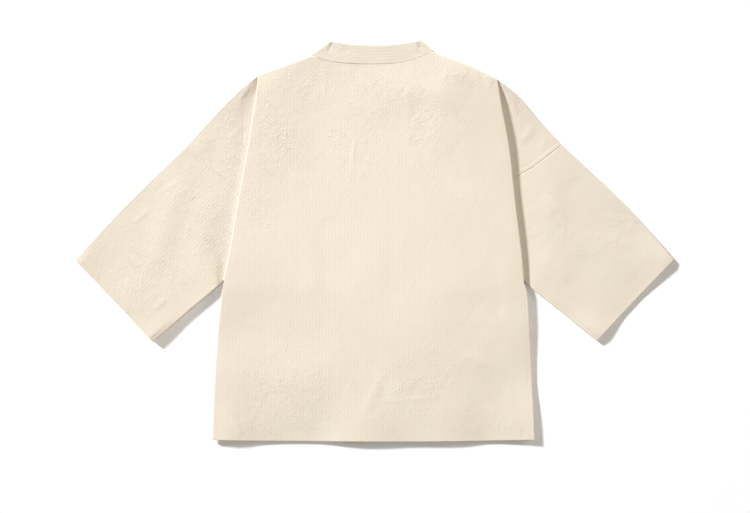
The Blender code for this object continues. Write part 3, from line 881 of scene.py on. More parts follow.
@dataclass
class Cloth:
    """A grid of points, in rows and columns, that becomes one sheet of cloth."""

    points: Array
    pattern: Array
    crinkle: Array
    kept: Array | None = None
    tube: bool = False

    def sheet(self, name: str, wall: float, finish: "CrepeCotton") -> bpy.types.Object:
        """Makes the sheet with its thickness, pattern coordinates and finish.

        Args:
            name: the piece's name.
            wall: the cloth's thickness in millimetres.
            finish: what it is dressed with.

        Returns:
            The finished piece, at the origin.
        """
        rows, columns = self.points.shape[:2]
        bpy.ops.object.select_all(action="DESELECT")
        bpy.ops.mesh.primitive_grid_add(x_subdivisions=columns - 1, y_subdivisions=rows - 1, size=1)
        piece = bpy.context.object
        piece.name = piece.data.name = name
        mesh = piece.data
        places = np.empty(len(mesh.vertices) * 3)
        mesh.vertices.foreach_get("co", places)
        places = places.reshape(-1, 3) + 0.5
        column = np.rint(places[:, 0] * (columns - 1)).astype(int)
        row = np.rint(places[:, 1] * (rows - 1)).astype(int)
        mesh.vertices.foreach_set("co", (self.points[row, column] * MM).ravel())
        self.lay_pattern(mesh, row, column)
        if self.kept is not None:
            self.cut_away(mesh, ~self.kept[row, column])
        if self.tube:
            self.close_tube()
        self.thicken(piece, wall)
        mesh.materials.append(finish.material())
        return piece

    def lay_pattern(self, mesh: bpy.types.Mesh, row: Array, column: Array) -> None:
        """Writes the flat pattern's place and the crinkle of each point to the mesh."""
        corners = np.empty(len(mesh.loops), int)
        mesh.loops.foreach_get("vertex_index", corners)
        layer = mesh.uv_layers[0]
        layer.name = CLOTH_MAP
        uv = self.pattern[row[corners], column[corners]] * MM
        layer.data.foreach_set("uv", uv.ravel())
        values = mesh.attributes.new(CRINKLE, "FLOAT", "POINT")
        values.data.foreach_set("value", self.crinkle[row, column].ravel())
        mesh.update()

    @staticmethod
    def cut_away(mesh: bpy.types.Mesh, spare: Array) -> None:
        """Deletes the grid's corners that lie outside the pattern."""
        bpy.ops.object.mode_set(mode="EDIT")
        bpy.ops.mesh.select_all(action="DESELECT")
        bpy.ops.object.mode_set(mode="OBJECT")
        mesh.vertices.foreach_set("select", spare)
        bpy.ops.object.mode_set(mode="EDIT")
        bpy.ops.mesh.delete(type="VERT")
        bpy.ops.object.mode_set(mode="OBJECT")

    @staticmethod
    def close_tube() -> None:
        """Joins the grid's first and last columns."""
        bpy.ops.object.mode_set(mode="EDIT")
        bpy.ops.mesh.select_all(action="SELECT")
        bpy.ops.mesh.remove_doubles(threshold=1e-6)
        bpy.ops.object.mode_set(mode="OBJECT")

    @staticmethod
    def thicken(piece: bpy.types.Object, wall: float) -> None:
        """Gives the sheet its thickness, half to each side, and smooth shading."""
        solid = piece.modifiers.new("wall", "SOLIDIFY")
        solid.thickness = wall * MM
        solid.offset = 0.0
        solid.use_quality_normals = True
        bpy.ops.object.modifier_apply(modifier=solid.name)
        bpy.ops.object.shade_smooth_by_angle(angle=math.radians(48))


@dataclass(frozen=True)
class CrepeCotton:
    """Matt cream cotton crepe: fine ribs along the grain, crinkles and an open weave."""

    name: str
    base: tuple[float, float, float] = (0.765, 0.695, 0.59)
    # shade is the darker colour: the cloth's own uneven tone in patches and slubs, and painted shade in the rib
    # valleys
    shade: tuple[float, float, float] = (0.715, 0.63, 0.505)
    rib_period: float = 5.77
    rib_height: float = 0.046
    crinkle_size: float = 3.4
    crinkle_height: float = 0.42
    fold_size: float = 7.5
    fold_sharpness: float = 0.4
    fold_height: float = 2.1
    calm: float = 0.2
    grain_size: float = 2.6
    grain_height: float = 0.1
    weave_period: float = 1.1
    weave_height: float = 0.03
    roughness: float = 0.92
    sheen: float = 0.12

    def material(self) -> bpy.types.Material:
        """Makes the finish's material."""
        made = bpy.data.materials.new(self.name)
        made.use_nodes = True
        tree = made.node_tree
        shader = tree.nodes["Principled BSDF"]
        shader.inputs["Roughness"].default_value = self.roughness
        shader.inputs["Sheen Weight"].default_value = self.sheen
        shader.inputs["Sheen Roughness"].default_value = 0.5
        shader.inputs["Specular IOR Level"].default_value = 0.15
        place = tree.nodes.new("ShaderNodeUVMap")
        place.uv_map = CLOTH_MAP
        ribs, crinkles = self.ribs(tree, place), self.crinkles(tree, place)
        grain = self.noise(tree, place, self.grain_size, 3.0)
        height = self.total(
            tree,
            (ribs, self.rib_height * 2),
            (crinkles, 1.0),
            (grain, self.grain_height * 2),
            (self.weave(tree, place), self.weave_height),
        )
        bump = tree.nodes.new("ShaderNodeBump")
        bump.inputs["Distance"].default_value = MM
        tree.links.new(height, bump.inputs["Height"])
        tree.links.new(bump.outputs["Normal"], shader.inputs["Normal"])
        colour = tree.nodes.new("ShaderNodeMix")
        colour.data_type = "RGBA"
        colour.inputs["A"].default_value = (*self.shade, 1.0)
        colour.inputs["B"].default_value = (*self.base, 1.0)
        # Mixes towards the darker colour at random in patches and slubs, the cloth's own tone, and in the ribs'
        # valleys, where it is painted shade
        tone_and_rib_shade = self.total(tree, (ribs, 0.22), (grain, 0.5), (self.noise(tree, place, 70.0, 2.0), 0.55))
        tree.links.new(tone_and_rib_shade, colour.inputs["Factor"])
        tree.links.new(colour.outputs["Result"], shader.inputs["Base Color"])
        return made

    @staticmethod
    def maths(tree: bpy.types.NodeTree, operation: str, *values) -> bpy.types.NodeSocket:
        """Adds one Math node whose inputs are sockets or numbers."""
        node = tree.nodes.new("ShaderNodeMath")
        node.operation = operation
        for socket, value in zip(node.inputs, values):
            if isinstance(value, bpy.types.NodeSocket):
                tree.links.new(value, socket)
            else:
                socket.default_value = value
        return node.outputs["Value"]

    def total(self, tree: bpy.types.NodeTree, *parts: tuple) -> bpy.types.NodeSocket:
        """The sum of several (socket, weight) parts."""
        result = self.maths(tree, "MULTIPLY", *parts[0])
        for socket, weight in parts[1:]:
            result = self.maths(tree, "MULTIPLY_ADD", socket, weight, result)
        return result

    def noise(
        self,
        tree: bpy.types.NodeTree,
        place: bpy.types.Node,
        size: float,
        detail: float,
        stretch: float = 1.0,
        turn: float = 0.0,
        distortion: float = 0.0,
    ) -> bpy.types.NodeSocket:
        """Soft noise on the pattern.

        Args:
            tree: the material's nodes.
            place: the node that gives the pattern's coordinates.
            size: the size of its lumps in millimetres.
            detail: how many finer layers it has.
            stretch: how much longer the lumps are along the grain.
            turn: how far they lean from the grain, in radians.
            distortion: how much they wander.

        Returns:
            The noise, from 0 to 1.
        """
        lean = tree.nodes.new("ShaderNodeMapping")
        lean.inputs["Rotation"].default_value[2] = turn
        tree.links.new(place.outputs["UV"], lean.inputs["Vector"])
        scale = tree.nodes.new("ShaderNodeMapping")
        scale.inputs["Scale"].default_value = (1.0, 1 / stretch, 1.0)
        tree.links.new(lean.outputs["Vector"], scale.inputs["Vector"])
        lumps = tree.nodes.new("ShaderNodeTexNoise")
        lumps.inputs["Scale"].default_value = 1 / (size * MM)
        lumps.inputs["Detail"].default_value = detail
        lumps.inputs["Distortion"].default_value = distortion
        tree.links.new(scale.outputs["Vector"], lumps.inputs["Vector"])
        return lumps.outputs["Fac"]

    def ribs(self, tree: bpy.types.NodeTree, place: bpy.types.Node) -> bpy.types.NodeSocket:
        """The fine ribs that run along the grain, a little uneven."""
        rib = tree.nodes.new("ShaderNodeTexWave")
        rib.wave_type = "BANDS"
        rib.bands_direction = "X"
        rib.wave_profile = "SIN"
        rib.inputs["Scale"].default_value = 2 * math.pi / 20 / (self.rib_period * MM)
        rib.inputs["Distortion"].default_value = 1.1
        rib.inputs["Detail"].default_value = 2.0
        rib.inputs["Detail Scale"].default_value = 0.6
        tree.links.new(place.outputs["UV"], rib.inputs["Vector"])
        patches = self.noise(tree, place, 34.0, 2.0, stretch=1.6)
        strength = self.maths(tree, "MULTIPLY_ADD", patches, 1.8, -0.25)
        return self.maths(tree, "MULTIPLY", rib.outputs["Fac"], strength)

    def crinkles(self, tree: bpy.types.NodeTree, place: bpy.types.Node) -> bpy.types.NodeSocket:
        """Short creases where the crepe has drawn up, strongest in the crinkled zones."""
        zone = tree.nodes.new("ShaderNodeAttribute")
        zone.attribute_name = CRINKLE
        soft = [
            self.ridge(tree, self.noise(tree, place, size, 1.5, stretch, turn, 0.8))
            for size, stretch, turn in (
                (self.crinkle_size, 3.2, 0.45),
                (self.crinkle_size * 0.85, 2.8, -0.3),
            )
        ]
        sharp = [
            self.maths(
                tree,
                "MAXIMUM",
                self.maths(tree, "SUBTRACT", self.ridge(tree, self.noise(tree, place, size, 1.0, stretch, turn, 1.2)), self.fold_sharpness),
                0.0,
            )
            for size, stretch, turn in (
                (self.fold_size, 2.6, 0.7),
                (self.fold_size * 0.8, 2.2, -0.5),
                (self.fold_size * 0.7, 2.4, 1.4),
            )
        ]
        where = self.maths(tree, "SUBTRACT", self.noise(tree, place, 30.0, 2.0), 0.2)
        patchy = self.maths(tree, "MULTIPLY", self.maths(tree, "MAXIMUM", where, 0.0), 2.2)
        strength = self.maths(tree, "MULTIPLY", self.maths(tree, "MAXIMUM", zone.outputs["Fac"], self.calm), patchy)
        parts = [(part, self.crinkle_height) for part in soft] + [(part, self.fold_height) for part in sharp]
        return self.maths(tree, "MULTIPLY", self.total(tree, *parts), strength)

    def ridge(self, tree: bpy.types.NodeTree, part: bpy.types.NodeSocket) -> bpy.types.NodeSocket:
        """Turns noise into creases along the line where it is one half."""
        away = self.maths(tree, "ABSOLUTE", self.maths(tree, "SUBTRACT", part, 0.5))
        return self.maths(tree, "SUBTRACT", 0.5, away)

    def weave(self, tree: bpy.types.NodeTree, place: bpy.types.Node) -> bpy.types.NodeSocket:
        """The plain weave's threads, over and under."""
        threads = []
        for direction in ("X", "Y"):
            thread = tree.nodes.new("ShaderNodeTexWave")
            thread.wave_type = "BANDS"
            thread.bands_direction = direction
            thread.inputs["Scale"].default_value = 2 * math.pi / 20 / (self.weave_period * MM)
            thread.inputs["Distortion"].default_value = 1.6
            thread.inputs["Detail Scale"].default_value = 0.4
            tree.links.new(place.outputs["UV"], thread.inputs["Vector"])
            threads.append(thread.outputs["Fac"])
        return self.maths(tree, "MULTIPLY", threads[0], threads[1])


@dataclass(frozen=True)
class Thread:
    """Sewing thread a little brighter than the cloth."""

    name: str = "sewing_thread"
    colour: tuple[float, float, float] = (0.82, 0.74, 0.62)
    roughness: float = 0.6
    twist: float = 0.9

    def material(self) -> bpy.types.Material:
        """Makes the thread's material, with its twist as bump."""
        made = bpy.data.materials.get(self.name) or bpy.data.materials.new(self.name)
        made.use_nodes = True
        tree = made.node_tree
        shader = tree.nodes["Principled BSDF"]
        shader.inputs["Roughness"].default_value = self.roughness
        shader.inputs["Sheen Weight"].default_value = 0.2
        place = tree.nodes.new("ShaderNodeTexCoord")
        fibre = tree.nodes.new("ShaderNodeTexNoise")
        fibre.inputs["Scale"].default_value = 1 / (self.twist * MM)
        tree.links.new(place.outputs["Object"], fibre.inputs["Vector"])
        tint = tree.nodes.new("ShaderNodeMix")
        tint.data_type = "RGBA"
        tint.inputs["A"].default_value = (*(0.9 * part for part in self.colour), 1.0)
        tint.inputs["B"].default_value = (*self.colour, 1.0)
        tree.links.new(fibre.outputs["Fac"], tint.inputs["Factor"])
        tree.links.new(tint.outputs["Result"], shader.inputs["Base Color"])
        bump = tree.nodes.new("ShaderNodeBump")
        bump.inputs["Distance"].default_value = 0.05 * MM
        tree.links.new(fibre.outputs["Fac"], bump.inputs["Height"])
        tree.links.new(bump.outputs["Normal"], shader.inputs["Normal"])
        return made


@dataclass(frozen=True)
class Stitching:
    """Rows of lockstitch, each stitch a short length of thread sunk in the cloth."""

    length: float = 2.5
    pitch: float = 3.3
    width: float = 0.5
    height: float = 0.36
    finish: Thread = Thread()

    def model(self) -> tuple[Array, list[tuple[int, ...]]]:
        """One stitch along +X, as points in millimetres and faces."""
        bpy.ops.object.select_all(action="DESELECT")
        bpy.ops.mesh.primitive_uv_sphere_add(segments=6, ring_count=4, radius=1)
        ball = bpy.context.object
        bpy.ops.object.mode_set(mode="EDIT")
        bpy.ops.mesh.select_all(action="SELECT")
        bpy.ops.transform.resize(value=(self.width / 2, self.height / 2, self.length / 2))
        bpy.ops.object.mode_set(mode="OBJECT")
        points = np.array([vertex.co[:] for vertex in ball.data.vertices])
        faces = [tuple(face.vertices) for face in ball.data.polygons]
        bpy.data.objects.remove(ball, do_unlink=True)
        return points[:, (2, 0, 1)], faces

    def sew(self, name: str, lines: list[Array], up: int = 1) -> bpy.types.Object:
        """Sews rows of stitches along lines on the cloth's surface.

        Args:
            name: the piece's name.
            lines: each an array of points in millimetres.
            up: 1 where the surface faces up, -1 where it faces down.

        Returns:
            All the stitches, joined in one mesh.
        """
        points, faces = self.model()
        all_points, all_faces = [], []
        for line in lines:
            steps = np.linalg.norm(np.diff(line, axis=0), axis=1)
            places = np.concatenate(([0.0], np.cumsum(steps)))
            middles = np.arange(self.pitch / 2, places[-1], self.pitch)
            centres = np.stack([np.interp(middles, places, line[:, axis]) for axis in range(3)], axis=1)
            ahead = np.stack([np.interp(middles + 0.8, places, line[:, axis]) for axis in range(3)], axis=1)
            behind = np.stack([np.interp(middles - 0.8, places, line[:, axis]) for axis in range(3)], axis=1)
            headings = (ahead - behind) / np.linalg.norm(ahead - behind, axis=1)[:, None]
            for centre, heading in zip(centres, headings):
                across = np.cross((0.0, 0.0, up), heading)
                across /= np.linalg.norm(across)
                lift = np.cross(heading, across)
                first = len(all_points) * len(points)
                all_points.append(centre + points @ np.array((heading, across, lift)))
                all_faces += [tuple(first + corner for corner in face) for face in faces]
        mesh = bpy.data.meshes.new(name)
        mesh.from_pydata((np.concatenate(all_points) * MM).tolist(), [], all_faces)
        mesh.shade_smooth()
        mesh.materials.append(self.finish.material())
        piece = bpy.data.objects.new(name, mesh)
        bpy.context.scene.collection.objects.link(piece)
        return piece


def settle(piece: bpy.types.Object, shift: tuple[float, float]) -> bpy.types.Object:
    """Moves a piece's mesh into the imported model's frame and lets it ride on the body."""
    places = np.empty(len(piece.data.vertices) * 3)
    piece.data.vertices.foreach_get("co", places)
    places = places.reshape(-1, 3) + (shift[0], shift[1], 0.0)
    piece.data.vertices.foreach_set("co", places.ravel())
    piece.data.update()
    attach(piece, BODY)
    return piece


@dataclass
class BodyCloth:
    """The back panel and the two fronts, with their tucks and dropped shoulders."""

    form: BodyForm
    shift: tuple[float, float]
    back_step: float = 3.9
    front_step: float = 5.6
    bend_steps: int = 6
    drop_length: float = 190.0
    under_length: float = 57.0
    edge_columns: tuple[float, ...] = (0.0, 0.12, 0.4, 0.8, 1.3, 2.2, 3.8, 5.4, 6.4, 7.1, 7.8, 9.2, 11.8)
    top_rows: tuple[float, ...] = (0.0, 0.12, 0.4, 0.8, 1.3, 2.2, 3.8, 6.0, 8.8)
    hem_rows: tuple[float, ...] = (1.1, 1.7, 2.8, 4.5, 7.0, 9.6, 12.2, 14.8, 17.0, 18.6, 19.4, 20.2, 21.2, 23.0, 25.8)
    turned_rows: tuple[float, ...] = (19.0, 15.0, 11.0, 7.0, 3.5)
    seam_columns: tuple[float, ...] = (0.0, 0.35, 0.9, 2.2, 3.8, 5.0, 5.8, 6.6, 7.6, 9.6, 12.6)
    stitches: Stitching = Stitching()

    def rows(self, step: float) -> Array:
        """The rows from the hem's first row up to the shoulder."""
        form = self.form
        low = graded(self.hem_rows, step, form.edge_length)[:-1] / form.edge_length
        high = 2 - graded(self.top_rows, step, form.fold_length)[::-1] / form.fold_length
        return np.concatenate((low, high))

    def pleat_columns(self, step: float) -> list[tuple[Stage, float]]:
        """The columns of the tuck and dropped shoulder, from the body outwards."""
        bend = [step_index / self.bend_steps for step_index in range(1, self.bend_steps + 1)]
        under_count = max(round(self.under_length / (2 * step)), 2)
        drop = 1 - graded(self.seam_columns, step, self.drop_length)[::-1] / self.drop_length
        columns = [(Stage.OUTER_BEND, t) for t in bend]
        columns += [(Stage.UNDER, index / under_count) for index in range(1, under_count)]
        columns += [(Stage.INNER_BEND, t) for t in [0.0] + bend]
        columns += [(Stage.DROP, float(t)) for t in drop[1:]]
        return columns

    def main_shares(self, step: float, both: bool) -> Array:
        """The shares across the main cloth, fine near one or both side edges."""
        width = self.form.hem_width if both else self.form.hem_width / 2 - self.form.band_seam_hem
        near = graded(self.edge_columns, step, width / 2 if both else width) / width
        return np.concatenate((near, 1 - near[-2::-1])) if both else near

    def grid(self, layer: Layer, half: Half | None, step: float) -> Cloth:
        """The points of one layer's main cloth, tuck and dropped shoulder.

        Args:
            layer: the back or a front.
            half: the side of a front, or None for the back, which has both.
            step: the spacing of rows and columns in millimetres.

        Returns:
            The cloth, without its turned hem.
        """
        form, v = self.form, self.rows(step)
        left, right = form.span(v)
        shares = self.main_shares(step, both=half is None)
        columns, patterns, outer = [], [], []
        if half is None:
            for t in shares:
                columns.append(form.flat_point(mix(left, right, t), v, layer))
                outer.append(False)
        else:
            start = left if half.sign < 0 else right
            end = form.band_seam(half, v) + half.sign * SEAM_GAP
            for t in shares:
                columns.append(form.flat_point(mix(start, end, t), v, layer))
                outer.append(False)
        patterns = [(column[0], column[1]) for column in columns]
        above = np.maximum(v, 1.0)
        for side in form.halves if half is None else (half,):
            added, added_patterns = [], []
            for stage, t in self.pleat_columns(step):
                *point, pattern_x, pattern_y = form.pleat_point(side, stage, t, above, layer)
                added.append(tuple(point))
                added_patterns.append((pattern_x, pattern_y))
            if side.sign < 0 or half is not None:
                columns, patterns = added[::-1] + columns, added_patterns[::-1] + patterns
                outer = [True] * len(added) + outer
            else:
                columns, patterns = columns + added, patterns + added_patterns
                outer = outer + [True] * len(added)
        points = np.stack([np.stack(np.broadcast_arrays(*column), axis=1) for column in columns], axis=1)
        pattern = np.stack([np.stack(np.broadcast_arrays(*column), axis=1) for column in patterns], axis=1)
        kept = ~(np.array(outer)[None, :] & (v < 1)[:, None])
        return self.with_hem(points, pattern, kept, layer)

    def with_hem(self, points: Array, pattern: Array, kept: Array, layer: Layer) -> Cloth:
        """Adds the hem, turned up between the layers round a small fold."""
        radius = HEM_PITCH / 2
        first = points[0]
        above = points[:, :, 1] - first[None, :, 1] + self.hem_rows[0]
        turned, turned_pattern = [], []
        for distance in self.turned_rows:
            row = np.empty_like(first)
            for column in range(first.shape[0]):
                for axis in (0, 2):
                    row[column, axis] = np.interp(distance, above[:, column], points[:, column, axis])
            row[:, 0] *= 0.992
            row[:, 1] = first[:, 1] + distance - self.hem_rows[0]
            row[:, 2] -= layer.value * HEM_PITCH
            turned.append(row)
            turned_pattern.append(pattern[0] - (0.0, distance))
        for step in range(self.bend_steps - 1, 0, -1):
            angle = math.pi * step / self.bend_steps
            row = first.copy()
            row[:, 1] -= radius * math.sin(angle)
            row[:, 2] -= layer.value * radius * (1 - math.cos(angle))
            turned.append(row)
            turned_pattern.append(pattern[0] - (0.0, radius * angle))
        points = np.concatenate((np.array(turned), points))
        pattern = np.concatenate((np.array(turned_pattern), pattern))
        kept = np.concatenate((np.repeat(kept[:1], len(turned), axis=0), kept))
        relief = BACK_RELIEF if layer is Layer.BACK else FRONT_RELIEF
        crinkle = relief.crinkle(points[:, :, 0], points[:, :, 1])
        for half in self.form.halves:
            outside = half.sign * points[:, :, 0] > np.abs(self.form.outline(half, 1.5)[0])
            there = half.drop_relief.crinkle(points[:, :, 0], points[:, :, 1])
            crinkle = np.where(outside & ~np.isnan(there), there, crinkle)
        return Cloth(points, pattern, crinkle, kept)

    def hem_line(self, layer: Layer, start: Array, end: Array) -> Array:
        """The stitched line along the hem, on the side of the cloth that shows."""
        form = self.form
        shares = np.linspace(0.008, 0.992, 200)
        v = np.full(shares.shape, form.hem_depth / form.edge_length)
        x, y, z = form.flat_point(mix(start, end, shares), v, layer)
        return np.stack((x, y, z + layer.value * (WALL / 2 + 0.06)), axis=1)

    def armhole_line(self, half: Half, layer: Layer) -> Array:
        """The topstitched line beside the armhole seam."""
        form = self.form
        v = 2 - np.linspace(0.03, 0.97, 120)
        lines = []
        for t in (1.0, 0.0):
            x, y, *_ = form.pleat_point(half, Stage.DROP, t, v, layer)
            lines.append((x, y))
        width = np.hypot(lines[0][0] - lines[1][0], lines[0][1] - lines[1][1])
        points = []
        for row, share in zip(v, 1 - form.seam_strip / width):
            if share > 0:
                x, y, z, *_ = form.pleat_point(half, Stage.DROP, float(share), np.array([row]), layer)
                points.append((x[0], y[0], z[0] + layer.value * (WALL / 2 + 0.06)))
        return np.array(points)

    def build(self) -> None:
        """Builds and dresses the back and both fronts."""
        form = self.form
        v = np.array([form.hem_depth / form.edge_length])
        left, right = form.span(v)
        back = self.grid(Layer.BACK, None, self.back_step).sheet("back", WALL, CrepeCotton("back_crepe"))
        lines = [self.hem_line(Layer.BACK, left, right)]
        lines += [self.armhole_line(half, Layer.BACK) for half in form.halves]
        sewing = self.stitches.sew("back_stitches", lines)
        settle(back, self.shift)
        settle(sewing, self.shift)
        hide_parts("back_panel")
        log.info("back: %d triangles", triangles(back))
        for half in form.halves:
            name = "front_" + half.name
            grid = self.grid(Layer.FRONT, half, self.front_step)
            front = grid.sheet(name + "_cloth", WALL, CrepeCotton(name + "_crepe"))
            start = left if half.sign < 0 else right
            lines = [self.hem_line(Layer.FRONT, start, form.band_seam(half, v))]
            lines.append(self.armhole_line(half, Layer.FRONT))
            sewing = self.stitches.sew(name + "_stitches", lines, up=-1)
            settle(front, self.shift)
            settle(sewing, self.shift)
            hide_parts(name)
            log.info("%s: %d triangles", name, triangles(front))


@dataclass
class Sleeve:
    """One sleeve, a flat tube from the armhole seam to the open cuff."""

    half: Half
    shift: tuple[float, float]
    step: float = 3.2
    across_length: float = 215.0
    down_length: float = 285.0
    fold_steps: int = 8
    fold_reach: float = 2.0
    top_puff: float = 0.4
    crown: float = 0.5
    cuff_depth: float = 30.0
    mouth: float = 0.4
    mouth_fade: float = 80.0
    edge_shares: tuple[float, ...] = (0.0, 0.8, 2.0, 3.4, 4.2, 5.0, 6.4, 9.0)
    seam_rows: tuple[float, ...] = (0.0, 0.4, 1.0, 2.0, 3.6, 5.6)
    cuff_rows: tuple[float, ...] = (1.1, 1.8, 3.2, 5.5, 8.5, 11.5, 14.5, 17.5, 20.5, 23.5, 26.5, 28.6, 29.4, 30.2, 31.2, 33.0)
    turned_rows: tuple[float, ...] = (28.5, 24.0, 18.0, 12.0, 6.0, 3.0)
    stitches: Stitching = Stitching()

    def spot(self, share: Number, down: Number) -> tuple[Array, Array]:
        """The place across from the top fold and down from the armhole seam."""
        half = self.half
        cuff_top, cuff_low = half.sleeve_top[-1], half.sleeve_under[-1]
        seam_top, seam_low = half.armhole[0], half.armhole[-1]
        lines = (
            along(half.armhole, share),
            along(half.sleeve_top, down),
            along(half.sleeve_under, down),
        )
        made = []
        for axis in (0, 1):
            seam, top, under = (line[axis] for line in lines)
            cuff = mix(cuff_top[axis], cuff_low[axis], share)
            high = mix(seam_top[axis], cuff_top[axis], down)
            low = mix(seam_low[axis], cuff_low[axis], down)
            made.append(mix(seam, cuff, down) + mix(top, under, share) - mix(high, low, share))
        return made[0], made[1]

    def clear_of_body(self, share: float, down: Array) -> Array:
        """1 where nothing of the body lies on the sleeve, 0 where it does."""
        start = mix(0.0, 0.25, float(ease((share - 0.3) / 0.5)))
        return ease((down - start) / mix(0.4, 0.13, share))

    def gap(self, share: float, down: Array) -> Array:
        """The distance between the middles of the sleeve's two layers."""
        clear = self.clear_of_body(share, down)
        rise = self.half.under_puff * share**1.25
        swell = self.top_puff + self.crown * math.sin(math.pi * share) + rise
        to_cuff = (1 - down) * self.down_length
        mouth = self.mouth * (1 - ease((to_cuff - self.cuff_depth - 1) / self.mouth_fade))
        _, puff = swell_at(self.half.cuff_swell, share)
        mouth = mouth + puff * (1 - ease(to_cuff / 80)) * ease(np.minimum(share, 1 - share) / 0.05)
        return PAIR_PITCH + swell * clear + mouth

    def lift(self, share: float, down: Array) -> Array:
        """How far the whole sleeve stands off the surface near its cuff."""
        lift, _ = swell_at(self.half.cuff_swell, share)
        return lift * (1 - ease((1 - down) * self.down_length / 90))

    def relief(self, share: float, down: Array, x: Array, y: Array) -> Array:
        """The creases, the stitched line of the cuff's hem and its puckers."""
        to_cuff = (1 - down) * self.down_length
        from_edge = min(share, 1 - share)
        height = np.maximum(self.half.sleeve_relief.height(x, y), -0.4) * ease(from_edge / 0.05)
        across = share * self.across_length
        ripple = 0.06 * np.sin(2 * math.pi * (across + 0.7 * to_cuff) / 12.0 + 3.0 * math.sin(across / 27))
        ripple = ripple * ease(to_cuff / 6) * (1 - ease((to_cuff - self.cuff_depth) / 7))
        seam_dip = -0.7 * self.half.seam_show * hump(down * self.down_length, 1.0)
        height = height * ease(to_cuff / 10) + ripple - 0.05 * hump(to_cuff - self.cuff_depth, 1.2) + seam_dip
        if self.half.edge_ditch:
            inside = (1 - share) * self.across_length
            height = height - 0.25 * hump(inside - 4.2, 0.8) * ease((down - 0.36) / 0.1)
        return height

    def ring(self) -> list[tuple[Ring, float]]:
        """The columns round the tube, from the top fold over the upper layer and back."""
        length = self.across_length
        near = graded(self.edge_shares, self.step, length / 2) / length
        shares = np.concatenate((near, 1 - near[-2::-1]))
        folds = [index / self.fold_steps for index in range(1, self.fold_steps)]
        ring = [(Ring.UPPER, float(share)) for share in shares]
        ring += [(Ring.UNDER_FOLD, t) for t in folds]
        ring += [(Ring.LOWER, float(share)) for share in shares[::-1]]
        ring += [(Ring.TOP_FOLD, t) for t in folds]
        return ring + ring[:1]

    def point(self, stretch: Ring, t: float, down: Array, inward: float) -> tuple:
        """A point on the tube.

        Args:
            stretch: the stretch round the tube.
            t: the share across it, or round the fold.
            down: how far down the sleeve each row lies.
            inward: how far inside the outer cloth, for the turned hem.

        Returns:
            x, y and height of the wall's middle, and the pattern's u and v.
        """
        if stretch in (Ring.UPPER, Ring.LOWER):
            share = t
            x, y = self.spot(share, down)
            gap, lift = self.gap(share, down), self.lift(share, down)
            if stretch is Ring.UPPER:
                height = WALL / 2 + lift + gap - inward + self.relief(share, down, x, y)
            else:
                height = WALL / 2 + lift + inward + 0.0 * down
            side = 1 if stretch is Ring.UPPER else -1
            return (x, y, height) + self.pattern(x, y, side)
        share = 1.0 if stretch is Ring.UNDER_FOLD else 0.0
        x, y = self.spot(share, down)
        other_x, other_y = self.spot(1 - share, down)
        length = np.hypot(x - other_x, y - other_y)
        out_x, out_y = (x - other_x) / length, (y - other_y) / length
        gap, lift = self.gap(share, down), self.lift(share, down)
        radius = gap / 2 - inward
        turn = math.cos(math.pi * t) * (1 if stretch is Ring.UNDER_FOLD else -1)
        reach = np.minimum(gap / 2, self.fold_reach) * math.sin(math.pi * t) * (1 - inward / self.fold_reach)
        height = WALL / 2 + lift + gap / 2 + radius * turn
        x, y = x + out_x * reach, y + out_y * reach
        return (x, y, height) + self.pattern(x, y, 1 if turn >= 0 else -1)

    def pattern(self, x: Array, y: Array, side: int) -> tuple[Array, Array]:
        """The flat pattern's place: across from the top fold, and along the grain."""
        start, end = self.half.sleeve_top[0], self.half.sleeve_top[-1]
        length = math.dist(start, end)
        dx, dy = (end.x - start.x) / length, (end.y - start.y) / length
        along_grain = (x - start.x) * dx + (y - start.y) * dy
        across = (x - start.x) * dy - (y - start.y) * dx
        return side * np.abs(across), along_grain

    def grid(self) -> Cloth:
        """The tube's points, with the cuff's hem turned in."""
        near_seam = graded(self.seam_rows, self.step, self.down_length - self.cuff_rows[-1])
        to_cuff = np.array(self.cuff_rows[:-1])[::-1]
        outer = np.concatenate((near_seam, self.down_length - to_cuff)) / self.down_length
        inner = 1 - np.array(self.turned_rows[::-1]) / self.down_length
        columns, patterns = [], []
        for stretch, t in self.ring():
            *point, u, v = self.point(stretch, t, outer, 0.0)
            point = np.stack(np.broadcast_arrays(*point), axis=1)
            *turned, _, _ = self.point(stretch, t, inner, HEM_PITCH)
            turned = np.stack(np.broadcast_arrays(*turned), axis=1)
            last, first = point[-1], turned[0]
            heading = np.array((point[-1, 0] - point[-3, 0], point[-1, 1] - point[-3, 1], 0.0))
            heading = heading / np.linalg.norm(heading)
            bend = []
            for step in range(1, 6):
                angle = math.pi * step / 6
                middle = (last + (*turned[0][:2], first[2])) / 2 * (1, 1, 1)
                half_way = mix(last, np.array((last[0], last[1], first[2])), (1 - math.cos(angle)) / 2)
                bend.append(half_way + heading * (HEM_PITCH / 2 * math.sin(angle)))
                del middle
            columns.append(np.concatenate((point, np.array(bend), turned)))
            patterns_here = np.stack((u, v), axis=1)
            beyond = [patterns_here[-1] + (0.0, 0.4 * step) for step in range(1, 6)]
            back = [patterns_here[-1] + (0.0, 2.0 + distance) for distance in self.turned_rows[::-1]]
            patterns.append(np.concatenate((patterns_here, np.array(beyond), np.array(back))))
        points, pattern = np.stack(columns, axis=1), np.stack(patterns, axis=1)
        crinkle = self.half.sleeve_relief.crinkle(points[:, :, 0], points[:, :, 1])
        return Cloth(points, pattern, crinkle, tube=True)

    def cuff_line(self, stretch: Ring) -> Array:
        """The stitched line round the cuff on one of its layers."""
        down = np.array([1 - self.cuff_depth / self.down_length])
        up = 1 if stretch is Ring.UPPER else -1
        points = []
        for share in np.linspace(0.012, 0.988, 80):
            x, y, z, *_ = self.point(stretch, float(share), down, 0.0)
            points.append((x[0], y[0], z[0] + up * (WALL / 2 + 0.06)))
        return np.array(points)

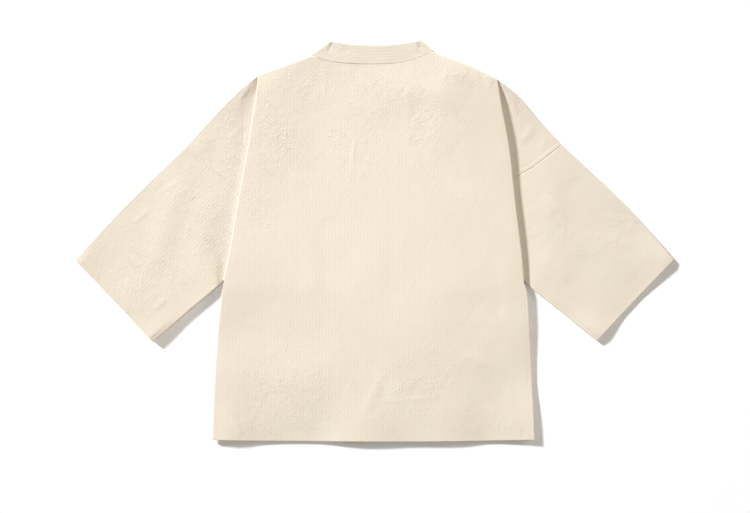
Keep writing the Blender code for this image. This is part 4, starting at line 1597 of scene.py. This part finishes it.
    def build(self) -> None:
        """Builds and dresses the sleeve."""
        name = "sleeve_" + self.half.name
        sleeve = self.grid().sheet(name + "_cloth", WALL, CrepeCotton(name + "_crepe"))
        upper = self.stitches.sew(name + "_upper_stitches", [self.cuff_line(Ring.UPPER)])
        lower = self.stitches.sew(name + "_lower_stitches", [self.cuff_line(Ring.LOWER)], up=-1)
        for piece in (sleeve, upper, lower):
            settle(piece, self.shift)
        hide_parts(name)
        log.info("%s: %d triangles", name, triangles(sleeve))


@dataclass
class NeckBand:
    """The long double band: up one front, folded over, round the back neck and down."""

    form: BodyForm
    shift: tuple[float, float]
    wall: float = 0.7
    pitch: float = 0.8
    collar_level: float = 6.7
    edge_rise: float = 0.4
    end_drop: float = 2.2
    end_drop_fade: float = 60.0
    strip_step: float = 5.0
    collar_steps: int = 64
    fold_steps: int = 10
    across_steps: int = 12
    end_rows: tuple[float, ...] = (0.3, 0.5, 0.9, 1.6, 3.0, 6.0)
    collar_top: tuple[Spot, ...] = (
        Spot(-77, 359),
        Spot(-33, 353.5),
        Spot(12, 353),
        Spot(44, 354.5),
        Spot(80, 360),
    )
    relief: Relief = Relief(
        creases=(
            Crease(Spot(-81, 368), Spot(-87, 340), 2.6, 0.8, 1.0),
            Crease(Spot(-76, 368), Spot(-82, 342), 2.0, -1.1, 1.0),
            Crease(Spot(-71, 368), Spot(-78, 338), 6.5, -0.6, 1.0),
            Crease(Spot(76, 368), Spot(77, 340), 2.6, 0.8, -1.0),
            Crease(Spot(81, 368), Spot(82, 342), 2.0, -1.1, -1.0),
            Crease(Spot(86, 368), Spot(88, 340), 6.0, -0.5, -1.0),
            Crease(Spot(-66, 345), Spot(-30, 340), 5.0, -0.5, 1.0),
            Crease(Spot(-8, 350), Spot(30, 347), 6.0, 0.4, 1.0),
        ),
        zones=(Zone(Spot(-60, 345), Spot(30, 20), 0.5),),
        broad=Waves(seed=51, shortest=50, longest=120),
        broad_height=0.3,
        fine=Waves(seed=52, shortest=12, longest=26),
        fine_height=0.2,
    )
    stitches: Stitching = Stitching()

    @property
    def floor_level(self) -> float:
        """The height of the band's middle where it lies on the surface."""
        return (self.pitch + self.wall) / 2

    def level(self, w: Number, across: Number) -> Array:
        """The height of the collar's middle, rising a little to its free edge."""
        return self.collar_level + self.edge_rise * ease(w) * (1 - 0.25 * np.sin(math.pi * across))

    def fold_spot(self, half: Half, w: Number) -> tuple[Number, Number]:
        """A spot on the line where the band folds over to the fronts, from the seam."""
        seam = half.shoulder[0]
        edge = self.collar_top[0] if half.sign < 0 else self.collar_top[-1]
        share = mix(2 * SEAM_GAP / math.dist(seam, edge), 1.0, w)
        return mix(seam.x, edge.x, share), mix(seam.y, edge.y, share)

    def strip_point(self, half: Half, w: float, v: Array) -> tuple:
        """A point on the band along a front, w of the way from its seam."""
        form = self.form
        seam_x, edge_x = form.band_seam(half, v), form.band_edge(half, v)
        tip = self.collar_top[0] if half.sign < 0 else self.collar_top[-1]
        climb = (tip.y - form.top_y(tip.x)) * (v / 2) ** 5
        x = mix(seam_x, edge_x, w)
        y = form.row_y(v, x) + climb * w
        fold_x, fold_y = self.fold_spot(half, w)
        close = ease((v - 1.8) / 0.2)
        x, y = mix(x, fold_x, close), mix(y, fold_y, close)
        hem_lift, _ = swell_at(form.hem_swell, x)
        above = form.hem_distance(x, v)
        lift = hem_lift * (1 - ease(above / form.hem_fade))
        if half.sign < 0:
            y = y - self.end_drop * (1 - ease(above / self.end_drop_fade))
        return x, y, self.floor_level + lift, np.full(v.shape, -1.0)

    def mid_rows(self, w: float) -> list[tuple]:
        """The band's middle, from one hem to the other, as x, y, z and its up direction."""
        form = self.form
        v = graded(self.end_rows, self.strip_step, 655.0) / 655.0 * 2
        rows = []
        for half in form.halves:
            x, y, z, up = self.strip_point(half, w, v)
            strip = [(x[i], y[i], z[i], 0.0, 0.0, -1.0) for i in range(len(v))]
            level = float(self.level(w, 0.0))
            radius = (level - self.floor_level) / 2
            seam, edge = self.fold_spot(half, 0.0), self.fold_spot(half, 1.0)
            length = math.dist(seam, edge)
            out = (half.sign * abs(seam[1] - edge[1]) / length, abs(seam[0] - edge[0]) / length)
            fold_x, fold_y = self.fold_spot(half, w)
            fold = []
            for step in range(1, self.fold_steps):
                angle = math.pi * step / self.fold_steps
                reach = radius * math.sin(angle)
                place = (fold_x + out[0] * reach, fold_y + out[1] * reach)
                facing = (out[0] * math.sin(angle), out[1] * math.sin(angle), -math.cos(angle))
                height = self.floor_level + radius * (1 - math.cos(angle))
                fold.append((*place, height, *facing))
            rows.append(strip + fold)
        collar = []
        for step in range(self.collar_steps + 1):
            across = step / self.collar_steps
            seam_x = mix(form.neck_seam[0].x, form.neck_seam[-1].x, across)
            edge_x = mix(self.collar_top[0].x, self.collar_top[-1].x, across)
            inward = 2 * SEAM_GAP / 40
            share = mix(inward, 1.0, w)
            x = mix(seam_x, edge_x, share)
            y = mix(float(form.top_y(seam_x)), float(smooth_value(self.collar_top, edge_x)), share)
            ends = float(ease(across / 0.03) * ease((1 - across) / 0.03))
            height = float(self.level(w, across)) + ends * float(self.relief.height(x, y))
            collar.append((x, y, height, 0.0, 0.0, 1.0))
        return rows[0] + collar + rows[1][::-1]

    def section(self) -> list[tuple[float, float, float]]:
        """The band's cross-section: share from the seam, offset from the middle, reach."""
        half_pitch = self.pitch / 2
        shares = [ease_in / self.across_steps for ease_in in range(self.across_steps + 1)]
        fine = sorted(set(shares) | {0.03, 0.06, 0.95, 0.98})
        outer = [(share, half_pitch, 0.0) for share in fine]
        bend = []
        for step in range(1, 6):
            angle = math.pi * step / 6
            bend.append((1.0, half_pitch * math.cos(angle), half_pitch * math.sin(angle)))
        inner = [(share, -half_pitch, 0.0) for share in reversed(fine)]
        return outer + bend + inner

    def grid(self) -> Cloth:
        """The double band's points, as one long folded ribbon."""
        centre_seam = np.array(self.mid_rows(0.0))
        centre_edge = np.array(self.mid_rows(1.0))
        outward = centre_edge[:, :3] - centre_seam[:, :3]
        width = np.linalg.norm(outward, axis=1)
        outward = outward / width[:, None]
        steps = np.linalg.norm(np.diff(centre_seam[:, :3], axis=0), axis=1)
        length = np.concatenate(([0.0], np.cumsum(steps)))
        from_end = np.minimum(length, length[-1] - length)
        closing = rounded(from_end + 0.05, 0.9)
        columns, patterns = [], []
        for w, offset, reach in self.section():
            middle = np.array(self.mid_rows(w * (1 - 0.9 / 40)))
            place = middle[:, :3] + middle[:, 3:] * (offset * closing)[:, None] + outward * reach
            columns.append(place)
            side = 1 if offset >= 0 else -1
            patterns.append(np.stack((side * (45 - w * width), length), axis=1))
        points, pattern = np.stack(columns, axis=1), np.stack(patterns, axis=1)
        crinkle = self.relief.crinkle(points[:, :, 0], points[:, :, 1])
        return Cloth(points, pattern, crinkle)

    def seam_line(self) -> Array:
        """The edge stitching on the collar, just above the neck seam."""
        middle = np.array(self.mid_rows(0.055))
        on_collar = middle[:, 5] > 0.99
        line = middle[on_collar][:, :3]
        return line + (0.0, 0.0, (self.pitch + self.wall) / 2 + 0.06)

    def build(self) -> None:
        """Builds and dresses the band."""
        band = self.grid().sheet("neck_band_cloth", self.wall, CrepeCotton("neck_band_crepe"))
        sewing = self.stitches.sew("neck_band_stitches", [self.seam_line()])
        settle(band, self.shift)
        settle(sewing, self.shift)
        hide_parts("neck_band")
        log.info("neck band: %d triangles", triangles(band))


@dataclass
class Studio:
    """A plain white floor, soft light from the upper left and the camera overhead."""

    view_middle: tuple[float, float] = (0.9, -27.7)
    view_width: float = 1350.0
    lens: float = 100.0
    sensor: float = 36.0
    floor_size: float = 24000.0
    key_travel: tuple[float, float] = (0.79, -0.61)
    key_elevation: float = 23.7
    key_angle: float = 8.0
    key_strength: float = 5.0
    key_colour: tuple[float, float, float] = (0.985, 1.0, 1.04)
    fill_travel: tuple[float, float] = (-0.93, -0.36)
    fill_elevation: float = 15.0
    fill_strength: float = 1.4
    fill_colour: tuple[float, float, float] = (1.0, 0.91, 0.78)
    fill_angle: float = 16.0
    sky_strength: float = 0.24
    sky_colour: tuple[float, float, float] = (1.0, 0.97, 0.92)
    pool_power: float = 145.0
    pool_colour: tuple[float, float, float] = (1.0, 0.96, 0.9)
    pool_place: tuple[float, float, float] = (-0.09, 0.08, 3.4)
    pool_spread: float = 25.0
    pool_softness: float = 0.5

    def floor(self) -> None:
        """The floor, just under the cloth."""
        bpy.ops.object.select_all(action="DESELECT")
        bpy.ops.mesh.primitive_grid_add(x_subdivisions=8, y_subdivisions=8, size=self.floor_size * MM)
        ground = bpy.context.object
        ground.name = ground.data.name = "floor"
        heights = np.empty(len(ground.data.vertices) * 3)
        ground.data.vertices.foreach_get("co", heights)
        heights[2::3] = -0.0002
        ground.data.vertices.foreach_set("co", heights)
        paint = bpy.data.materials.new("white_floor")
        paint.use_nodes = True
        shader = paint.node_tree.nodes["Principled BSDF"]
        shader.inputs["Base Color"].default_value = (1.0, 1.0, 1.0, 1.0)
        shader.inputs["Roughness"].default_value = 0.9
        shader.inputs["Specular IOR Level"].default_value = 0.1
        ground.data.materials.append(paint)

    @staticmethod
    def sun(
        name: str,
        strength: float,
        colour: tuple[float, float, float],
        travel: tuple[float, float],
        elevation: float,
        angle: float,
    ) -> None:
        """One distant light, by the way in which it travels over the floor and its height in degrees."""
        light = bpy.data.lights.new(name, "SUN")
        light.energy = strength
        light.color = colour
        light.angle = math.radians(angle)
        lamp = bpy.data.objects.new(name, light)
        heading = math.atan2(travel[1], travel[0])
        lamp.rotation_euler = (0.0, math.pi / 2 - math.radians(elevation), heading + math.pi)
        bpy.context.scene.collection.objects.link(lamp)

    def lights(self) -> None:
        """The low key light, a weak fill, the pool of light from overhead and the pale sky."""
        self.sun("key", self.key_strength, self.key_colour, self.key_travel, self.key_elevation, self.key_angle)
        self.sun("fill", self.fill_strength, self.fill_colour, self.fill_travel, self.fill_elevation, self.fill_angle)
        pool = bpy.data.lights.new("pool", "SPOT")
        pool.energy = self.pool_power
        pool.color = self.pool_colour
        pool.spot_size = math.radians(self.pool_spread)
        pool.spot_blend = 1.0
        pool.shadow_soft_size = self.pool_softness
        lamp = bpy.data.objects.new("pool", pool)
        lamp.location = self.pool_place
        bpy.context.scene.collection.objects.link(lamp)
        world = bpy.context.scene.world or bpy.data.worlds.new("studio")
        bpy.context.scene.world = world
        world.use_nodes = True
        sky = world.node_tree.nodes["Background"]
        sky.inputs["Color"].default_value = (*self.sky_colour, 1.0)
        sky.inputs["Strength"].default_value = self.sky_strength

    def camera(self) -> None:
        """The camera, straight above, with the photograph's frame."""
        eye = bpy.data.cameras.new("camera")
        eye.lens = self.lens
        eye.sensor_width = self.sensor
        place = bpy.data.objects.new("camera", eye)
        height = self.view_width * self.lens / self.sensor
        place.location = (self.view_middle[0] * MM, self.view_middle[1] * MM, height * MM)
        bpy.context.scene.collection.objects.link(place)
        bpy.context.scene.camera = place

    def build(self) -> None:
        """Sets the studio up."""
        self.floor()
        self.lights()
        self.camera()
        bpy.context.scene.view_settings.view_transform = "Standard"


def triangles(piece: bpy.types.Object) -> int:
    """The number of triangles in a piece."""
    return sum(len(face.vertices) - 2 for face in piece.data.polygons)


def main() -> None:
    """Builds every sewn piece and the studio, and keeps the sizes."""
    logging.basicConfig(level=logging.INFO)
    form = BodyForm()
    hem_low = min(spot.y for spot in form.hem_line)
    shift = (0.0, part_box("back_panel")[0].y - hem_low * MM)
    Studio().build()
    BodyCloth(form, shift).build()
    for half in form.halves:
        Sleeve(half, shift).build()
    NeckBand(form, shift).build()


if __name__ == "__main__":
    main()
